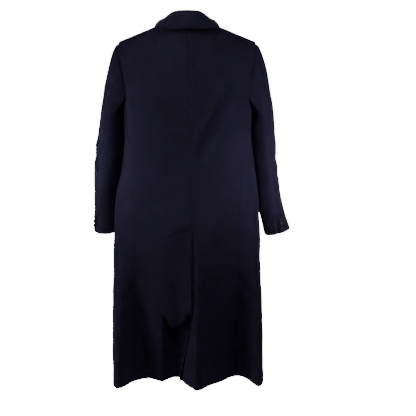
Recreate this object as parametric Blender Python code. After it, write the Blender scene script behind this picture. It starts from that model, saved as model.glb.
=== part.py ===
# A long chesterfield coat, filled out as if worn, made of thin cloth walls sewn panel to panel.
# Metres, +Z up. The origin is between the shoulders at the height of the nape. The front faces -Y
# and the wearer's left is +X. "Drop" is the distance below the nape.

import math
from collections import namedtuple

import bpy
import numpy as np

# Driving dimensions, in metres
SHOULDER_WIDTH = 0.440
BACK_LENGTH = 1.165
NECK_WIDTH = 0.172
CHEST_DROP = 0.235
ARMHOLE_DIP = 0.040
CLOTH = 0.0024
LAPEL_CLOTH = 0.0030
SEAM_GAP = 0.0003
LAP_GAP = 0.0015
LOOSE_LAP = 0.0030
FLUTE_FADE = 0.45

# Back vent and front lap
VENT_TOP = 0.637
SWING_DROP = 0.918
VENT_SPREAD = 0.028
UNDERLAP_TUCK = 0.026
TUCK_WIDTH = 0.034
LAP_SHARE = 0.10
LAP_RISE = 0.030
LOOSE_DROP = 0.750
FRONT_LAP = 0.030
LAP_REACH, LAP_EASE = 0.045, 0.040
BREAK_DROP = 0.430
SEAM_SHIFT = 0.0126

# Buttons
FRONT_BUTTON_RADIUS = 0.0115
CUFF_BUTTON_RADIUS = 0.0075
FRONT_BUTTON_DROPS = (0.452, 0.572, 0.692)
CUFF_BUTTON_RISES = (0.022, 0.038, 0.054)
FRONT_BUTTON_HEIGHT = 0.0042
CUFF_BUTTON_HEIGHT = 0.0032
CUFF_BUTTON_TURN = 0.045
BUTTON_SEAT = 0.0006
BUTTON_SIDES = 16

# Seam grid
CHEST_SHARE = 0.24
CAP_SHARE = 0.28
UPPER_ROWS = 8
UNDERARM_COLUMNS = (0, 0.09, 0.18, 0.27, 0.35, 0.43, 0.52, 0.64, 0.76, 0.88, 1)
BODY_STEP = 0.046
SLEEVE_STEP = 0.038

LEFT, RIGHT = 1, -1
SIDE_NAMES = {LEFT: "left", RIGHT: "right"}

# One row for each level of the body: half widths either side, depths behind and before the origin, how
# square the level is (2 is an ellipse), and how far across the side seams run
BodyLevel = namedtuple("BodyLevel", "name drop left right back front square side_back side_front")
BODY_LEVELS = (
    BodyLevel("shoulder blade", 0.150, 0.2080, 0.2090, 0.118, 0.112, 2.5, 0.1990, 0.176),
    BodyLevel("chest", 0.235, 0.2050, 0.2080, 0.126, 0.134, 2.4, 0.1930, 0.178),
    BodyLevel("rib", 0.340, 0.2000, 0.2065, 0.121, 0.134, 2.4, 0.1870, 0.172),
    BodyLevel("waist", 0.450, 0.2110, 0.2190, 0.112, 0.127, 2.4, 0.1790, 0.172),
    BodyLevel("high hip", 0.560, 0.2330, 0.2330, 0.119, 0.128, 2.4, 0.1700, 0.174),
    BodyLevel("hip", 0.660, 0.2390, 0.2390, 0.126, 0.132, 2.5, 0.1670, 0.176),
    BodyLevel("thigh", 0.820, 0.2450, 0.2450, 0.116, 0.134, 2.7, 0.1670, 0.178),
    BodyLevel("knee", 1.000, 0.2475, 0.2530, 0.101, 0.136, 2.9, 0.1660, 0.180),
    BodyLevel("hem", 1.165, 0.2490, 0.2570, 0.088, 0.136, 3.0, 0.1640, 0.182),
)

# The skirt's flutes: which face each is on, the drops where it starts and is full, how far across it
# runs at those drops, its width, and how far out it stands
Flute = namedtuple("Flute", "name face start full start_across across width out")
FLUTES = (
    Flute("left corner crest", "back", 0.62, 1.165, 0.224, 0.229, 0.034, 0.071),
    Flute("left seam valley", "back", 0.48, 1.165, 0.163, 0.130, 0.044, -0.050),
    Flute("left panel crest", "back", 0.80, 1.130, 0.082, 0.072, 0.026, -0.011),
    Flute("vent valley", "back", 0.88, 1.090, 0.024, 0.030, 0.018, -0.023),
    Flute("main crest", "back", 0.60, 1.165, -0.022, -0.032, 0.036, 0.055),
    Flute("right seam valley", "back", 0.48, 1.165, -0.160, -0.164, 0.050, -0.066),
    Flute("right corner crest", "back", 0.60, 1.165, -0.224, -0.235, 0.025, 0.062),
    Flute("left front crest", "front", 0.58, 1.165, 0.160, 0.168, 0.045, 0.030),
    Flute("left front valley", "front", 0.55, 1.165, 0.092, 0.086, 0.034, -0.030),
    Flute("front edge crest", "front", 0.72, 1.165, 0.000, 0.006, 0.040, 0.014),
    Flute("right front valley", "front", 0.55, 1.165, -0.104, -0.098, 0.038, -0.032),
    Flute("right front crest", "front", 0.60, 1.165, -0.172, -0.178, 0.040, 0.028),
)

# One row for each level of a sleeve: how far out its outer side lies, its distance from the body, where
# along the body's side it lies front to back, its half depth, how far it turns to lie along the body, in
# degrees, and where its back and front seams run, in degrees round from the outer side towards the back
SleeveLevel = namedtuple("SleeveLevel", "name drop outer clear back half_depth lean back_seam front_seam")
SLEEVE_LEVELS = {
    LEFT: (
        SleeveLevel("bicep", 0.300, 0.2820, 0.0040, -0.016, 0.0720, 7, 82, 242),
        SleeveLevel("upper arm", 0.390, 0.2960, 0.0026, -0.026, 0.0670, 11, 79, 243),
        SleeveLevel("elbow", 0.490, 0.3050, 0.0030, -0.034, 0.0615, 13, 69, 243),
        SleeveLevel("forearm", 0.590, 0.3090, 0.0060, -0.046, 0.0550, 10, 68, 238),
        SleeveLevel("cuff", 0.675, 0.3130, 0.0075, -0.064, 0.0485, 4, 46, 229),
    ),
    RIGHT: (
        SleeveLevel("bicep", 0.300, 0.2805, 0.0034, -0.016, 0.0720, 7, 82, 242),
        SleeveLevel("upper arm", 0.390, 0.2895, 0.0026, -0.026, 0.0670, 11, 69, 243),
        SleeveLevel("elbow", 0.490, 0.2975, 0.0030, -0.030, 0.0645, 12, 48, 242),
        SleeveLevel("forearm", 0.590, 0.3180, 0.0060, -0.034, 0.0560, 8, 84, 236),
        SleeveLevel("cuff", 0.675, 0.3460, 0.0240, -0.046, 0.0490, 0, 92, 225),
    ),
}

# How the sleeve head leaves the armhole, round from the shoulder point by the back
HeadHandle = namedtuple("HeadHandle", "name at out back down reach arrival")
HEAD_HANDLES = (
    HeadHandle("shoulder point", 0.00, 0.73, 0.00, 0.68, 0.034, 0.120),
    HeadHandle("back", 0.18, 0.72, 0.42, 0.55, 0.042, 0.080),
    HeadHandle("back junction", 0.36, 0.60, 0.25, 0.76, 0.026, 0.040),
    HeadHandle("underarm", 0.51, 0.80, 0.00, 0.60, 0.008, 0.012),
    HeadHandle("front junction", 0.66, 0.60, -0.25, 0.76, 0.024, 0.036),
    HeadHandle("front", 0.83, 0.74, -0.45, 0.50, 0.040, 0.080),
    HeadHandle("shoulder point again", 1.00, 0.73, 0.00, 0.68, 0.034, 0.120),
)
BACK_JUNCTION, FRONT_JUNCTION = 0.36, 0.66
BACK_SEAM_AT, FRONT_SEAM_AT = 0.225, 0.7025

# The collar from the centre back round to the wearer's left end. Each line starts at a foot and heads
# off in a direction, in degrees from straight back for the first lines. The last lines lie on the
# front, their feet and edges drawn as seen from before: sideways and drop.
CollarLine = namedtuple("CollarLine", "name foot direction")
CollarFlat = namedtuple("CollarFlat", "name foot edge")
COLLAR_LINES = (
    CollarLine("centre back", (0.0000, 0.0632, 0.0004), 0),
    CollarLine("behind the neck", (0.0415, 0.0553, -0.0003), 28),
    CollarLine("neck side", (0.0735, 0.0315, -0.0009), 48),
    CollarLine("shoulder", (0.0832, 0.0035, -0.0010), 82),
    CollarFlat("upper chest", (0.0780, 0.0240), (0.1130, 0.0380)),
    CollarFlat("gorge", (0.0700, 0.0635), (0.1320, 0.0604)),
    CollarFlat("notch", (0.1060, 0.0930), (0.1390, 0.0737)),
)

# Each line's section: how far out from the foot and how far up, or off the front, each point lies
CollarSection = namedtuple("CollarSection", "foot inside top outside middle edge")
COLLAR_SECTIONS = (
    CollarSection((0, 0), (-0.0035, 0.0318), (0.0015, 0.0375), (0.0070, 0.0325), (0.0180, 0.0075),
                  (0.0275, -0.0190)),
    CollarSection((0, 0), (-0.0045, 0.0290), (0.0005, 0.0348), (0.0060, 0.0298), (0.0190, 0.0062),
                  (0.0300, -0.0182)),
    CollarSection((0, 0), (-0.0105, 0.0126), (-0.0060, 0.0180), (0.0000, 0.0160), (0.0160, 0.0040),
                  (0.0300, -0.0112)),
    CollarSection((0, 0), (-0.0085, 0.0050), (-0.0038, 0.0100), (0.0022, 0.0092), (0.0096, 0.0056),
                  (0.0170, -0.0004)),
    CollarSection((-0.0045, 0.0018), (-0.0052, 0.0055), (-0.0010, 0.0102), (0.0052, 0.0096),
                  (0.0210, 0.0068), (0.0377, 0.0050)),
    CollarSection((-0.0035, 0.0022), (-0.0042, 0.0056), (0.0002, 0.0102), (0.0068, 0.0096),
                  (0.0320, 0.0062), (0.0621, 0.0048)),
    CollarSection((0, 0.0050), (0.0030, 0.0052), (0.0070, 0.0052), (0.0120, 0.0051), (0.0240, 0.0049),
                  (0.0382, 0.0046)),
)
COLLAR_KEYS = (0, 0.28, 0.36, 0.44, 0.72, 1)
COLLAR_ROWS = (0, 0.14, 0.28, 0.32, 0.36, 0.40, 0.44, 0.54, 0.64, 0.75, 0.87, 1)

# The lapel, drawn flat in the same way: its roll and its outer edge, from the break point up
LapelLine = namedtuple("LapelLine", "name roll edge")
LAPEL_LINES = {
    LEFT: (
        LapelLine("break", (-0.0265, 0.424), (-0.0120, 0.4215)),
        LapelLine("low", (-0.0110, 0.362), (0.0400, 0.345)),
        LapelLine("middle", (0.0125, 0.268), (0.0900, 0.250)),
        LapelLine("chest", (0.0370, 0.170), (0.1310, 0.166)),
        LapelLine("gorge", (0.0620, 0.0675), (0.1530, 0.1270)),
    ),
    RIGHT: (
        LapelLine("under the left lapel", (0.0300, 0.372), (0.0330, 0.3690)),
        LapelLine("low", (0.0200, 0.333), (0.0490, 0.3320)),
        LapelLine("crossing", (0.0085, 0.296), (0.0700, 0.2900)),
        LapelLine("middle", (0.0190, 0.245), (0.1000, 0.2280)),
        LapelLine("chest", (0.0370, 0.170), (0.1310, 0.166)),
        LapelLine("gorge", (0.0620, 0.0675), (0.1530, 0.1270)),
    ),
}
LAPEL_LIFTS = {LEFT: 0.0042, RIGHT: 0.0050}
LapelBend = namedtuple("LapelBend", "at across beyond lift")
LAPEL_BENDS = (
    LapelBend(0.00, 0.00, 0.0036, -0.0004),
    LapelBend(0.08, 0.00, 0.0042, 0.0036),
    LapelBend(0.18, 0.04, 0.0010, 0.0078),
    LapelBend(0.34, 0.20, 0.0000, 0.0080),
    LapelBend(0.66, 0.62, 0.0000, 0.0056),
    LapelBend(1.00, 1.00, 0.0000, 0.0042),
)

Finish = namedtuple("Finish", "name colour roughness metallic")
WOOL = Finish("navy_wool", (0.010, 0.009, 0.018, 1), 0.92, 0)
HORN = Finish("dark_button", (0.020, 0.018, 0.022, 1), 0.35, 0)


# Small tools for tables and curves

def smooth(share):
    """0 to 1 with a soft start and end."""
    share = np.clip(share, 0, 1)
    return share * share * (3 - 2 * share)


def spline(keys, values, at):
    """Values read between keys on a smooth curve, and straight on past either end."""
    keys, values, at = (np.asarray(x, float) for x in (keys, values, at))
    slopes = np.gradient(values, keys, axis=0)
    index = np.clip(np.searchsorted(keys, at) - 1, 0, len(keys) - 2)
    span = keys[index + 1] - keys[index]
    t = (at - keys[index]) / span
    inside = np.clip(t, 0, 1)
    outside = (t - inside) * span
    more = (1,) * (values.ndim - 1)
    t, span, outside = (x.reshape(x.shape + more) for x in (inside, span, outside))
    start, end = values[index], values[index + 1]
    first, last = slopes[index] * span, slopes[index + 1] * span
    bent = (start * (1 + 2 * t) * (1 - t) ** 2 + end * t * t * (3 - 2 * t)
            + first * t * (1 - t) ** 2 - last * t * t * (1 - t))
    return bent + np.where(outside < 0, slopes[index], slopes[index + 1]) * outside


def read(rows, key, column, at):
    """One column of a table, read at a value of its key column."""
    return spline([getattr(r, key) for r in rows], [getattr(r, column) for r in rows], at)


def bezier(start, first, second, end, t):
    t = np.asarray(t, float)[..., None]
    return (start * (1 - t) ** 3 + 3 * first * t * (1 - t) ** 2
            + 3 * second * t * t * (1 - t) + end * t ** 3)


def unit(vectors):
    return vectors / np.linalg.norm(vectors, axis=-1, keepdims=True)


def points(*parts):
    """Three arrays or numbers as one array of points."""
    return np.stack(np.broadcast_arrays(*(np.asarray(p, float) for p in parts)), axis=-1)


# The body as one surface, by the angle round it and the drop

def body_level(column, drop):
    return read(BODY_LEVELS, "drop", column, drop)


def flute_reach(face, across, drop):
    """How far the flutes on one face move the cloth out from the plain body."""
    total = 0
    for flute in FLUTES:
        if flute.face == face:
            share = (drop - flute.start) / (flute.full - flute.start)
            middle = flute.start_across + (flute.across - flute.start_across) * share
            total = total + flute.out * smooth(share) * np.exp(-((across - middle) / flute.width) ** 2)
    return total


def torso(angle, drop):
    """The cloth's outer face."""
    angle, drop = np.broadcast_arrays(np.asarray(angle, float), np.asarray(drop, float))
    sine, cosine = np.sin(angle), np.cos(angle)
    square = body_level("square", drop)
    scale = (np.abs(sine) ** square + np.abs(cosine) ** square) ** (-1 / square)
    across = sine * scale * np.where(sine >= 0, body_level("left", drop), body_level("right", drop))
    fade = smooth(np.abs(cosine) / FLUTE_FADE)
    back_reach = body_level("back", drop) * cosine * scale + flute_reach("back", across, drop) * fade
    front_reach = body_level("front", drop) * cosine * scale - flute_reach("front", across, drop) * fade
    return points(across, np.where(cosine >= 0, back_reach, front_reach), -drop)


def sunk_torso(angle, drop, sink):
    """The cloth's outer face where it lies under another layer, this far in."""
    step = 1e-4
    around = torso(angle + step, drop) - torso(angle - step, drop)
    downward = torso(angle, drop + step) - torso(angle, drop - step)
    return torso(angle, drop) - unit(np.cross(around, downward)) * np.asarray(sink)[..., None]


def angle_at(across, drop, side, face):
    """The angle on one face of the body at this distance across from the middle towards a side."""
    side_widths = {LEFT: body_level("left", drop), RIGHT: body_level("right", drop)}
    width = np.where(np.asarray(across) >= 0, side_widths[side], side_widths[-side])
    square = body_level("square", drop)
    share = np.clip(np.abs(across) / width, 0, 0.9999) ** square
    turn = np.sign(across) * np.arctan((share / (1 - share)) ** (1 / square))
    return side * (turn if face == "back" else math.pi - turn)


# Seam lines of the body

SHOULDER_NECK = np.array((NECK_WIDTH / 2, 0.004, -0.002))
SHOULDER_TIP = np.array((SHOULDER_WIDTH / 2, -0.004, -0.0560))
SHOULDER_SLOPE = (SHOULDER_NECK[2] - SHOULDER_TIP[2]) / (SHOULDER_TIP[0] - SHOULDER_NECK[0])
NAPE_BACK = 0.066
NECK_SHARE = 0.42
BLADE_BACK, BLADE_TURN, BLADE_DROP, BLADE_RISE = 0.091, 0.28, 0.065, 0.011
TIP_DRAW = 0.004
BACK_ARRIVAL = 0.080
FRONT_REACH = 0.075


def shoulder_up(side):
    """The way out of the cloth at the shoulder seam."""
    along = SHOULDER_TIP - SHOULDER_NECK
    return unit(np.array((-along[2] * side, 0, along[0])))


def side_of(point, side):
    return point * np.array((side, 1, 1))


def centre_back(drop):
    """Angle of the centre back seam, which hangs a little to the wearer's right below the blades."""
    return angle_at(-SEAM_SHIFT * smooth((drop - 0.02) / 0.16), drop, LEFT, "back")


def vent_edge(drop):
    """Angle of the left back's edge, which swings aside below the vent's fold."""
    swing = np.clip((drop - SWING_DROP) / (BACK_LENGTH - SWING_DROP), 0, 1)
    return centre_back(drop) * (1 - swing) + angle_at(VENT_SPREAD, drop, LEFT, "back") * swing


def drop_at(share):
    """Drop of a row below the chest, whose shares run from CHEST_SHARE to 1."""
    return CHEST_DROP + (BACK_LENGTH - CHEST_DROP) * (share - CHEST_SHARE) / (1 - CHEST_SHARE)


def upper_part(share, top, handle, chest, arrive, arrival):
    """Columns from the shoulder or neckline down to the chest, where they join the body smoothly."""
    return bezier(top, handle, chest - unit(arrive) * arrival, chest, share / CHEST_SHARE)


def joined(share, upper, lower):
    return np.where((share < CHEST_SHARE)[..., None], upper, lower)


def back(side, across, down):
    """Outer face of one back panel: across is 0 at the centre back and 1 at the side-back seam."""
    across, down = np.broadcast_arrays(np.asarray(across, float), np.asarray(down, float))

    def below(share):
        drop = drop_at(share)
        start = vent_edge(drop) if side == LEFT else centre_back(drop)
        seam = body_level("side_back", drop)
        end = np.where(across < 0, angle_at(seam, drop, -side, "back"), angle_at(seam, drop, side, "back"))
        angle = start + (end - start) * np.abs(across)
        if side == LEFT:
            return torso(angle, drop)
        near = smooth((LAP_SHARE - across) / LAP_SHARE) * smooth((drop - VENT_TOP + LAP_RISE) / LAP_RISE)
        looser = LOOSE_LAP * smooth((drop - LOOSE_DROP) / 0.15)
        lying = sunk_torso(angle, drop, (CLOTH + LAP_GAP + looser) * near)
        tucked = smooth((lying[..., 0] + 0.002) / TUCK_WIDTH) * smooth((drop - SWING_DROP) / 0.20)
        return lying - points(0, UNDERLAP_TUCK * tucked, 0)

    neck_part = np.clip(across / NECK_SHARE, -1, 1)
    neck_across = (neck_part + np.sin(neck_part * math.pi / 2)) / 2
    neck = points(SHOULDER_NECK[0] * neck_across,
                  SHOULDER_NECK[1] + (NAPE_BACK - SHOULDER_NECK[1]) * np.sqrt(1 - neck_across ** 2),
                  SHOULDER_NECK[2] * np.abs(neck_across))
    out = np.clip((across - NECK_SHARE) / (1 - NECK_SHARE), 0, None)[..., None]
    shoulder = SHOULDER_NECK + (SHOULDER_TIP - SHOULDER_NECK) * out
    top = np.where((across < NECK_SHARE)[..., None], neck, shoulder)
    beyond = np.maximum(top[..., 0] - SHOULDER_NECK[0], 0)
    tip_in = TIP_DRAW * smooth((across - 0.75) / 0.25)
    handle = points(top[..., 0] - tip_in, BLADE_BACK - BLADE_TURN * top[..., 0],
                    -BLADE_DROP + BLADE_RISE * neck_across - SHOULDER_SLOPE * beyond)
    chest_share = np.full_like(down, CHEST_SHARE)
    chest = below(chest_share)
    arrive = below(chest_share + 0.01) - chest
    upper = upper_part(down, side_of(top, side), side_of(handle, side), chest, arrive, BACK_ARRIVAL)
    return joined(down, upper, below(np.maximum(down, CHEST_SHARE)))


def side_panel(side, across, down):
    """Outer face of the panel under the arm: across is 0 at the side-back seam, 1 at the side-front."""
    across, down = np.broadcast_arrays(np.asarray(across, float), np.asarray(down, float))
    dip = CHEST_DROP + ARMHOLE_DIP * np.sin(math.pi * np.clip(across, 0, 1)) ** 1.2
    drop = dip + (BACK_LENGTH - dip) * down
    start = angle_at(body_level("side_back", drop), drop, side, "back")
    end = angle_at(body_level("side_front", drop), drop, side, "front")
    return torso(start + (end - start) * across, drop)


def front_edge(side, drop):
    """How far the front's edge lies across, along the roll line and then down the lap."""
    rolled = SHOULDER_NECK[0] - (SHOULDER_NECK[0] + FRONT_LAP) * (drop / BREAK_DROP)
    return np.maximum(rolled, -FRONT_LAP)


def front(side, across, down):
    """Outer face of one front: across is 0 at the side-front seam and 1 at the roll line or edge."""
    across, down = np.broadcast_arrays(np.asarray(across, float), np.asarray(down, float))

    def below(share):
        drop = drop_at(share)
        start = angle_at(body_level("side_front", drop), drop, side, "front")
        end = angle_at(front_edge(side, drop), drop, side, "front")
        angle = start + (end - start) * across
        if side == LEFT:
            return torso(angle, drop)
        away = side * torso(angle, drop)[..., 0]
        near = smooth((LAP_REACH - front_edge(side, drop) - away) / LAP_EASE)
        return sunk_torso(angle, drop, (CLOTH + LAP_GAP) * near)

    top = side_of(SHOULDER_TIP + (SHOULDER_NECK - SHOULDER_TIP) * across[..., None], side)
    edge = smooth((0.25 - across) / 0.25)
    roll = smooth((across - 0.55) / 0.45)
    leave = points(side * (-0.10 * edge - 0.21 * roll), -0.62 + 0.06 * edge, -0.78 + 0.02 * roll)
    chest_share = np.full_like(down, CHEST_SHARE)
    chest = below(chest_share)
    arrive = below(chest_share + 0.01) - chest
    upper = upper_part(down, top, top + unit(leave) * FRONT_REACH, chest, arrive, FRONT_REACH)
    return joined(down, upper, below(np.maximum(down, CHEST_SHARE)))


def facing(surface, across, down, outward):
    """Unit normals of a surface, all on the side that outward gives."""
    step = 1e-4
    one = surface(across + step, down) - surface(across - step, down)
    two = surface(across, down + step) - surface(across, down - step)
    normal = unit(np.cross(one, two))
    return normal * np.sign(np.sum(normal * outward(surface(across, down))))


def from_axis(at):
    """Outwards from the body's own axis."""
    return at * np.array((1, 1, 0)) + np.array((0, 0, 0.02))


def on_front(side, across, drop):
    """Where on a front lies the point seen from before at this place: its two shares of the panel."""
    across, drop = np.broadcast_arrays(np.asarray(across, float), np.asarray(drop, float))
    share, down = np.full(across.shape, 0.7), np.clip(drop, 0.02, 0.6) * 0.9

    def seen(a, b):
        at = front(side, a, b)
        return np.stack((at[..., 0] * side - across, -at[..., 2] - drop), axis=-1)

    step = 1e-4
    for _ in range(24):
        miss = seen(share, down)
        by_share = (seen(share + step, down) - miss) / step
        by_down = (seen(share, down + step) - miss) / step
        scale = by_share[..., 0] * by_down[..., 1] - by_share[..., 1] * by_down[..., 0]
        move = (miss[..., 0] * by_down[..., 1] - miss[..., 1] * by_down[..., 0]) / scale
        fall = (by_share[..., 0] * miss[..., 1] - by_share[..., 1] * miss[..., 0]) / scale
        share = np.clip(share - np.clip(move, -0.2, 0.2), -0.4, 1.5)
        down = np.clip(down - np.clip(fall, -0.1, 0.1), 0.001, 0.95)
    return share, down


def above_front(side, across, drop, lift):
    """The point that lies this far off the front's outer face."""
    share, down = on_front(side, across, drop)
    normal = facing(lambda a, b: front(side, a, b), share, down, from_axis)
    return front(side, share, down) + normal * np.asarray(lift, float)[..., None]


# Sleeves

def armhole(side, turn):
    """The armhole's seam, from the shoulder point by the back, the underarm and the front, 0 to 1."""
    turn = np.asarray(turn, float)
    behind = back(side, np.ones_like(turn), CHEST_SHARE * np.clip(turn / BACK_JUNCTION, 0, 1))
    under = side_panel(side, np.clip((turn - BACK_JUNCTION) / (FRONT_JUNCTION - BACK_JUNCTION), 0, 1), 0)
    before = front(side, np.zeros_like(turn), CHEST_SHARE * np.clip((1 - turn) / (1 - FRONT_JUNCTION), 0, 1))
    return np.where((turn < BACK_JUNCTION)[..., None], behind,
                    np.where((turn < FRONT_JUNCTION)[..., None], under, before))


def armhole_out(side, at):
    """The way out of the cloth at the armhole, shared by the body and the sleeve."""
    middle = np.array((0, 0, -0.165))
    around = unit((at - middle) * np.array((0, 1, 1)))
    return unit(around + np.array((0.6 * side, 0, 0)))


def sleeve_turn(side, turn, drop):
    """Angle round the sleeve of a column that starts at this place on the armhole."""
    rows = SLEEVE_LEVELS[side]
    back_seam, front_seam = (read(rows, "drop", c, drop) for c in ("back_seam", "front_seam"))
    over = np.where(turn <= BACK_SEAM_AT, BACK_SEAM_AT - turn, BACK_SEAM_AT + 1 - turn)
    over = over / (BACK_SEAM_AT + 1 - FRONT_SEAM_AT)
    under = (turn - BACK_SEAM_AT) / (FRONT_SEAM_AT - BACK_SEAM_AT)
    degrees = np.where((turn > BACK_SEAM_AT) & (turn < FRONT_SEAM_AT),
                       back_seam + under * (front_seam - back_seam),
                       back_seam - over * (back_seam + 360 - front_seam))
    return np.radians(degrees)


def sleeve_sides(side, drop):
    """How far out the sleeve's inner side, beside the body, and its outer side lie."""
    rows = SLEEVE_LEVELS[side]
    along = read(rows, "drop", "back", drop)
    depth = np.where(along >= 0, body_level("back", drop), body_level("front", drop))
    square = body_level("square", drop)
    beside = body_level(SIDE_NAMES[side], drop) * (1 - (np.abs(along) / depth) ** square) ** (1 / square)
    return beside + read(rows, "drop", "clear", drop), read(rows, "drop", "outer", drop)


def sleeve_middle(side, drop):
    rows = SLEEVE_LEVELS[side]
    inner, outer = sleeve_sides(side, drop)
    forward = np.tan(np.radians(read(rows, "drop", "lean", drop))) * (outer - inner) / 2
    return points(side * (inner + outer) / 2, read(rows, "drop", "back", drop) - forward, -drop)


def sleeve_tube(side, angle, drop):
    rows = SLEEVE_LEVELS[side]
    middle = sleeve_middle(side, drop)
    way = unit(sleeve_middle(side, drop + 0.01) - sleeve_middle(side, drop - 0.01))
    lean = np.radians(read(rows, "drop", "lean", drop))
    outer = points(side * np.cos(lean), -np.sin(lean), 0)
    outer = unit(outer - way * np.sum(outer * way, axis=-1, keepdims=True))
    behind = np.cross(way, outer) * side
    behind = behind * np.sign(behind[..., 1:2])
    inner_side, outer_side = sleeve_sides(side, drop)
    half_width = ((outer_side - inner_side) / 2 * np.cos(angle))[..., None]
    half_depth = (read(rows, "drop", "half_depth", drop) * np.sin(angle))[..., None]
    return middle + outer * half_width + behind * half_depth


def sleeve(side, turn, down):
    """Outer face of a sleeve: turn is round from the shoulder point, down is 0 at the armhole."""
    turn, down = np.broadcast_arrays(np.asarray(turn, float), np.asarray(down, float))
    rows = SLEEVE_LEVELS[side]
    first, last = rows[0].drop, rows[-1].drop

    def below(share):
        drop = first + (last - first) * (share - CAP_SHARE) / (1 - CAP_SHARE)
        return sleeve_tube(side, sleeve_turn(side, turn, drop), drop)

    start = armhole(side, np.clip(turn, 0, 1))
    leave = points(side * read(HEAD_HANDLES, "at", "out", turn), read(HEAD_HANDLES, "at", "back", turn),
                   -read(HEAD_HANDLES, "at", "down", turn))
    cap = np.full_like(down, CAP_SHARE)
    ring = below(cap)
    arrive = unit(below(cap + 0.01) - ring)
    head = bezier(start, start + unit(leave) * read(HEAD_HANDLES, "at", "reach", turn)[..., None],
                  ring - arrive * read(HEAD_HANDLES, "at", "arrival", turn)[..., None], ring,
                  down / CAP_SHARE)
    return np.where((down < CAP_SHARE)[..., None], head, below(np.maximum(down, CAP_SHARE)))


# Solids from grids of points

def new_object(name, corners, faces, finish):
    mesh = bpy.data.meshes.new(name)
    mesh.from_pydata([tuple(c) for c in corners], [], faces)
    mesh.update()
    item = bpy.data.objects.new(name, mesh)
    bpy.context.scene.collection.objects.link(item)
    item.data.materials.append(material(finish))
    mesh.shade_smooth()
    mesh.set_sharp_from_angle(angle=math.radians(40))
    return item


def material(finish):
    found = bpy.data.materials.get(finish.name)
    if found:
        return found
    made = bpy.data.materials.new(finish.name)
    made.use_nodes = True
    shader = made.node_tree.nodes["Principled BSDF"]
    shader.inputs["Base Color"].default_value = finish.colour
    shader.inputs["Roughness"].default_value = finish.roughness
    shader.inputs["Metallic"].default_value = finish.metallic
    return made


def volume(corners, faces):
    total = 0.0
    for face in faces:
        first = corners[face[0]]
        for one, two in zip(face[1:-1], face[2:]):
            total += np.dot(first, np.cross(corners[one], corners[two]))
    return total / 6


def sheet_solid(name, outer, inner, kept=None):
    """A closed wall between two grids of points. Kept marks the grid's cells that have cloth."""
    columns, rows = outer.shape[:2]
    kept = np.ones((columns - 1, rows - 1), bool) if kept is None else kept
    count = columns * rows
    corners = np.concatenate((outer.reshape(-1, 3), inner.reshape(-1, 3)))
    faces, rim = [], {}
    for i in range(columns - 1):
        for j in range(rows - 1):
            if not kept[i, j]:
                continue
            cell = [i * rows + j, (i + 1) * rows + j, (i + 1) * rows + j + 1, i * rows + j + 1]
            faces.append(cell)
            faces.append([c + count for c in reversed(cell)])
            for a, b in zip(cell, cell[1:] + cell[:1]):
                if (b, a) in rim:
                    del rim[(b, a)]
                else:
                    rim[(a, b)] = True
    for a, b in rim:
        if a < b:
            faces += [[b, a, b + count], [a, a + count, b + count]]
        else:
            faces += [[b, a, a + count], [b, a + count, b + count]]
    used = sorted({c for face in faces for c in face})
    place = {c: k for k, c in enumerate(used)}
    corners = corners[used]
    faces = [[place[c] for c in face] for face in faces]
    if volume(corners, faces) < 0:
        faces = [face[::-1] for face in faces]
    return new_object(name, corners, faces, WOOL)


def drawn_in(grid, edges):
    """The grid with its seam edges drawn in by half the seam gap."""
    moved = grid.copy()
    whole = slice(None)
    lines = {"start": ((0, whole), (1, whole)), "end": ((-1, whole), (-2, whole)),
             "top": ((whole, 0), (whole, 1))}
    for edge in edges:
        line, inside = lines[edge] if isinstance(edge, str) else edge
        moved[line] += unit(grid[inside] - grid[line]) * SEAM_GAP / 2
    return moved


def panel(name, surface, across, down, seams, outward=from_axis, thickness=CLOTH, rims=(), kept=None):
    """A cloth wall on a surface. Rims are (edge, function, cells) that set the way out along an edge."""
    a, d = np.meshgrid(across, down, indexing="ij")
    outer = surface(a, d)
    normal = facing(surface, a, d, outward)
    lines = {"start": (0, slice(None)), "end": (-1, slice(None)), "top": (slice(None), 0)}
    for edge, shared, cells in rims:
        line = tuple(cells if isinstance(x, slice) else x for x in lines.get(edge, (edge, slice(None))))
        normal[line] = shared(outer[line], normal[line])
    outer = drawn_in(outer, seams)
    return sheet_solid(name, outer, outer - normal * thickness, kept)


def upper_rows():
    return list(np.linspace(0, CHEST_SHARE, UPPER_ROWS + 1))


def lower_rows(stops):
    """Rows from the chest to the hem, with one at each stop."""
    drops = [CHEST_DROP, *stops, BACK_LENGTH]
    shares = []
    for top, bottom in zip(drops, drops[1:]):
        count = max(1, round((bottom - top) / BODY_STEP))
        shares += list(np.linspace(top, bottom, count + 1)[1:])
    return [CHEST_SHARE + (1 - CHEST_SHARE) * (s - CHEST_DROP) / (BACK_LENGTH - CHEST_DROP) for s in shares]


def make_backs():
    shares = upper_rows() + lower_rows([VENT_TOP])
    neck_columns = list(np.linspace(0, NECK_SHARE, 7))
    out_columns = list(np.linspace(NECK_SHARE, 1, 9))[1:]
    vent_row = UPPER_ROWS + round((VENT_TOP - CHEST_DROP) / BODY_STEP)
    for side in (LEFT, RIGHT):
        lap = [] if side == LEFT else [-a for a in neck_columns[5:0:-1]]
        across = np.array(lap + neck_columns + out_columns)
        kept = np.ones((len(across) - 1, len(shares) - 1), bool)
        kept[:len(lap), :vent_row] = False
        first_shoulder = len(lap) + len(neck_columns) - 1
        rims = (("top", lambda at, n, s=side: shoulder_up(s), slice(first_shoulder, None)),
                ("end", lambda at, n, s=side: armhole_out(s, at), slice(0, UPPER_ROWS + 1)),
                (len(lap), lambda at, n: unit(n * np.array((0, 1, 1))), slice(0, UPPER_ROWS)))
        above_vent = slice(0, vent_row)
        seams = ("end", "top", ((len(lap), above_vent), (len(lap) + 1, above_vent)))
        if side == LEFT:
            seams = ("end", "top", "start")
        panel(f"back_{SIDE_NAMES[side]}", lambda a, d, s=side: back(s, a, d), across, np.array(shares),
              seams, rims=rims, kept=kept)


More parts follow.
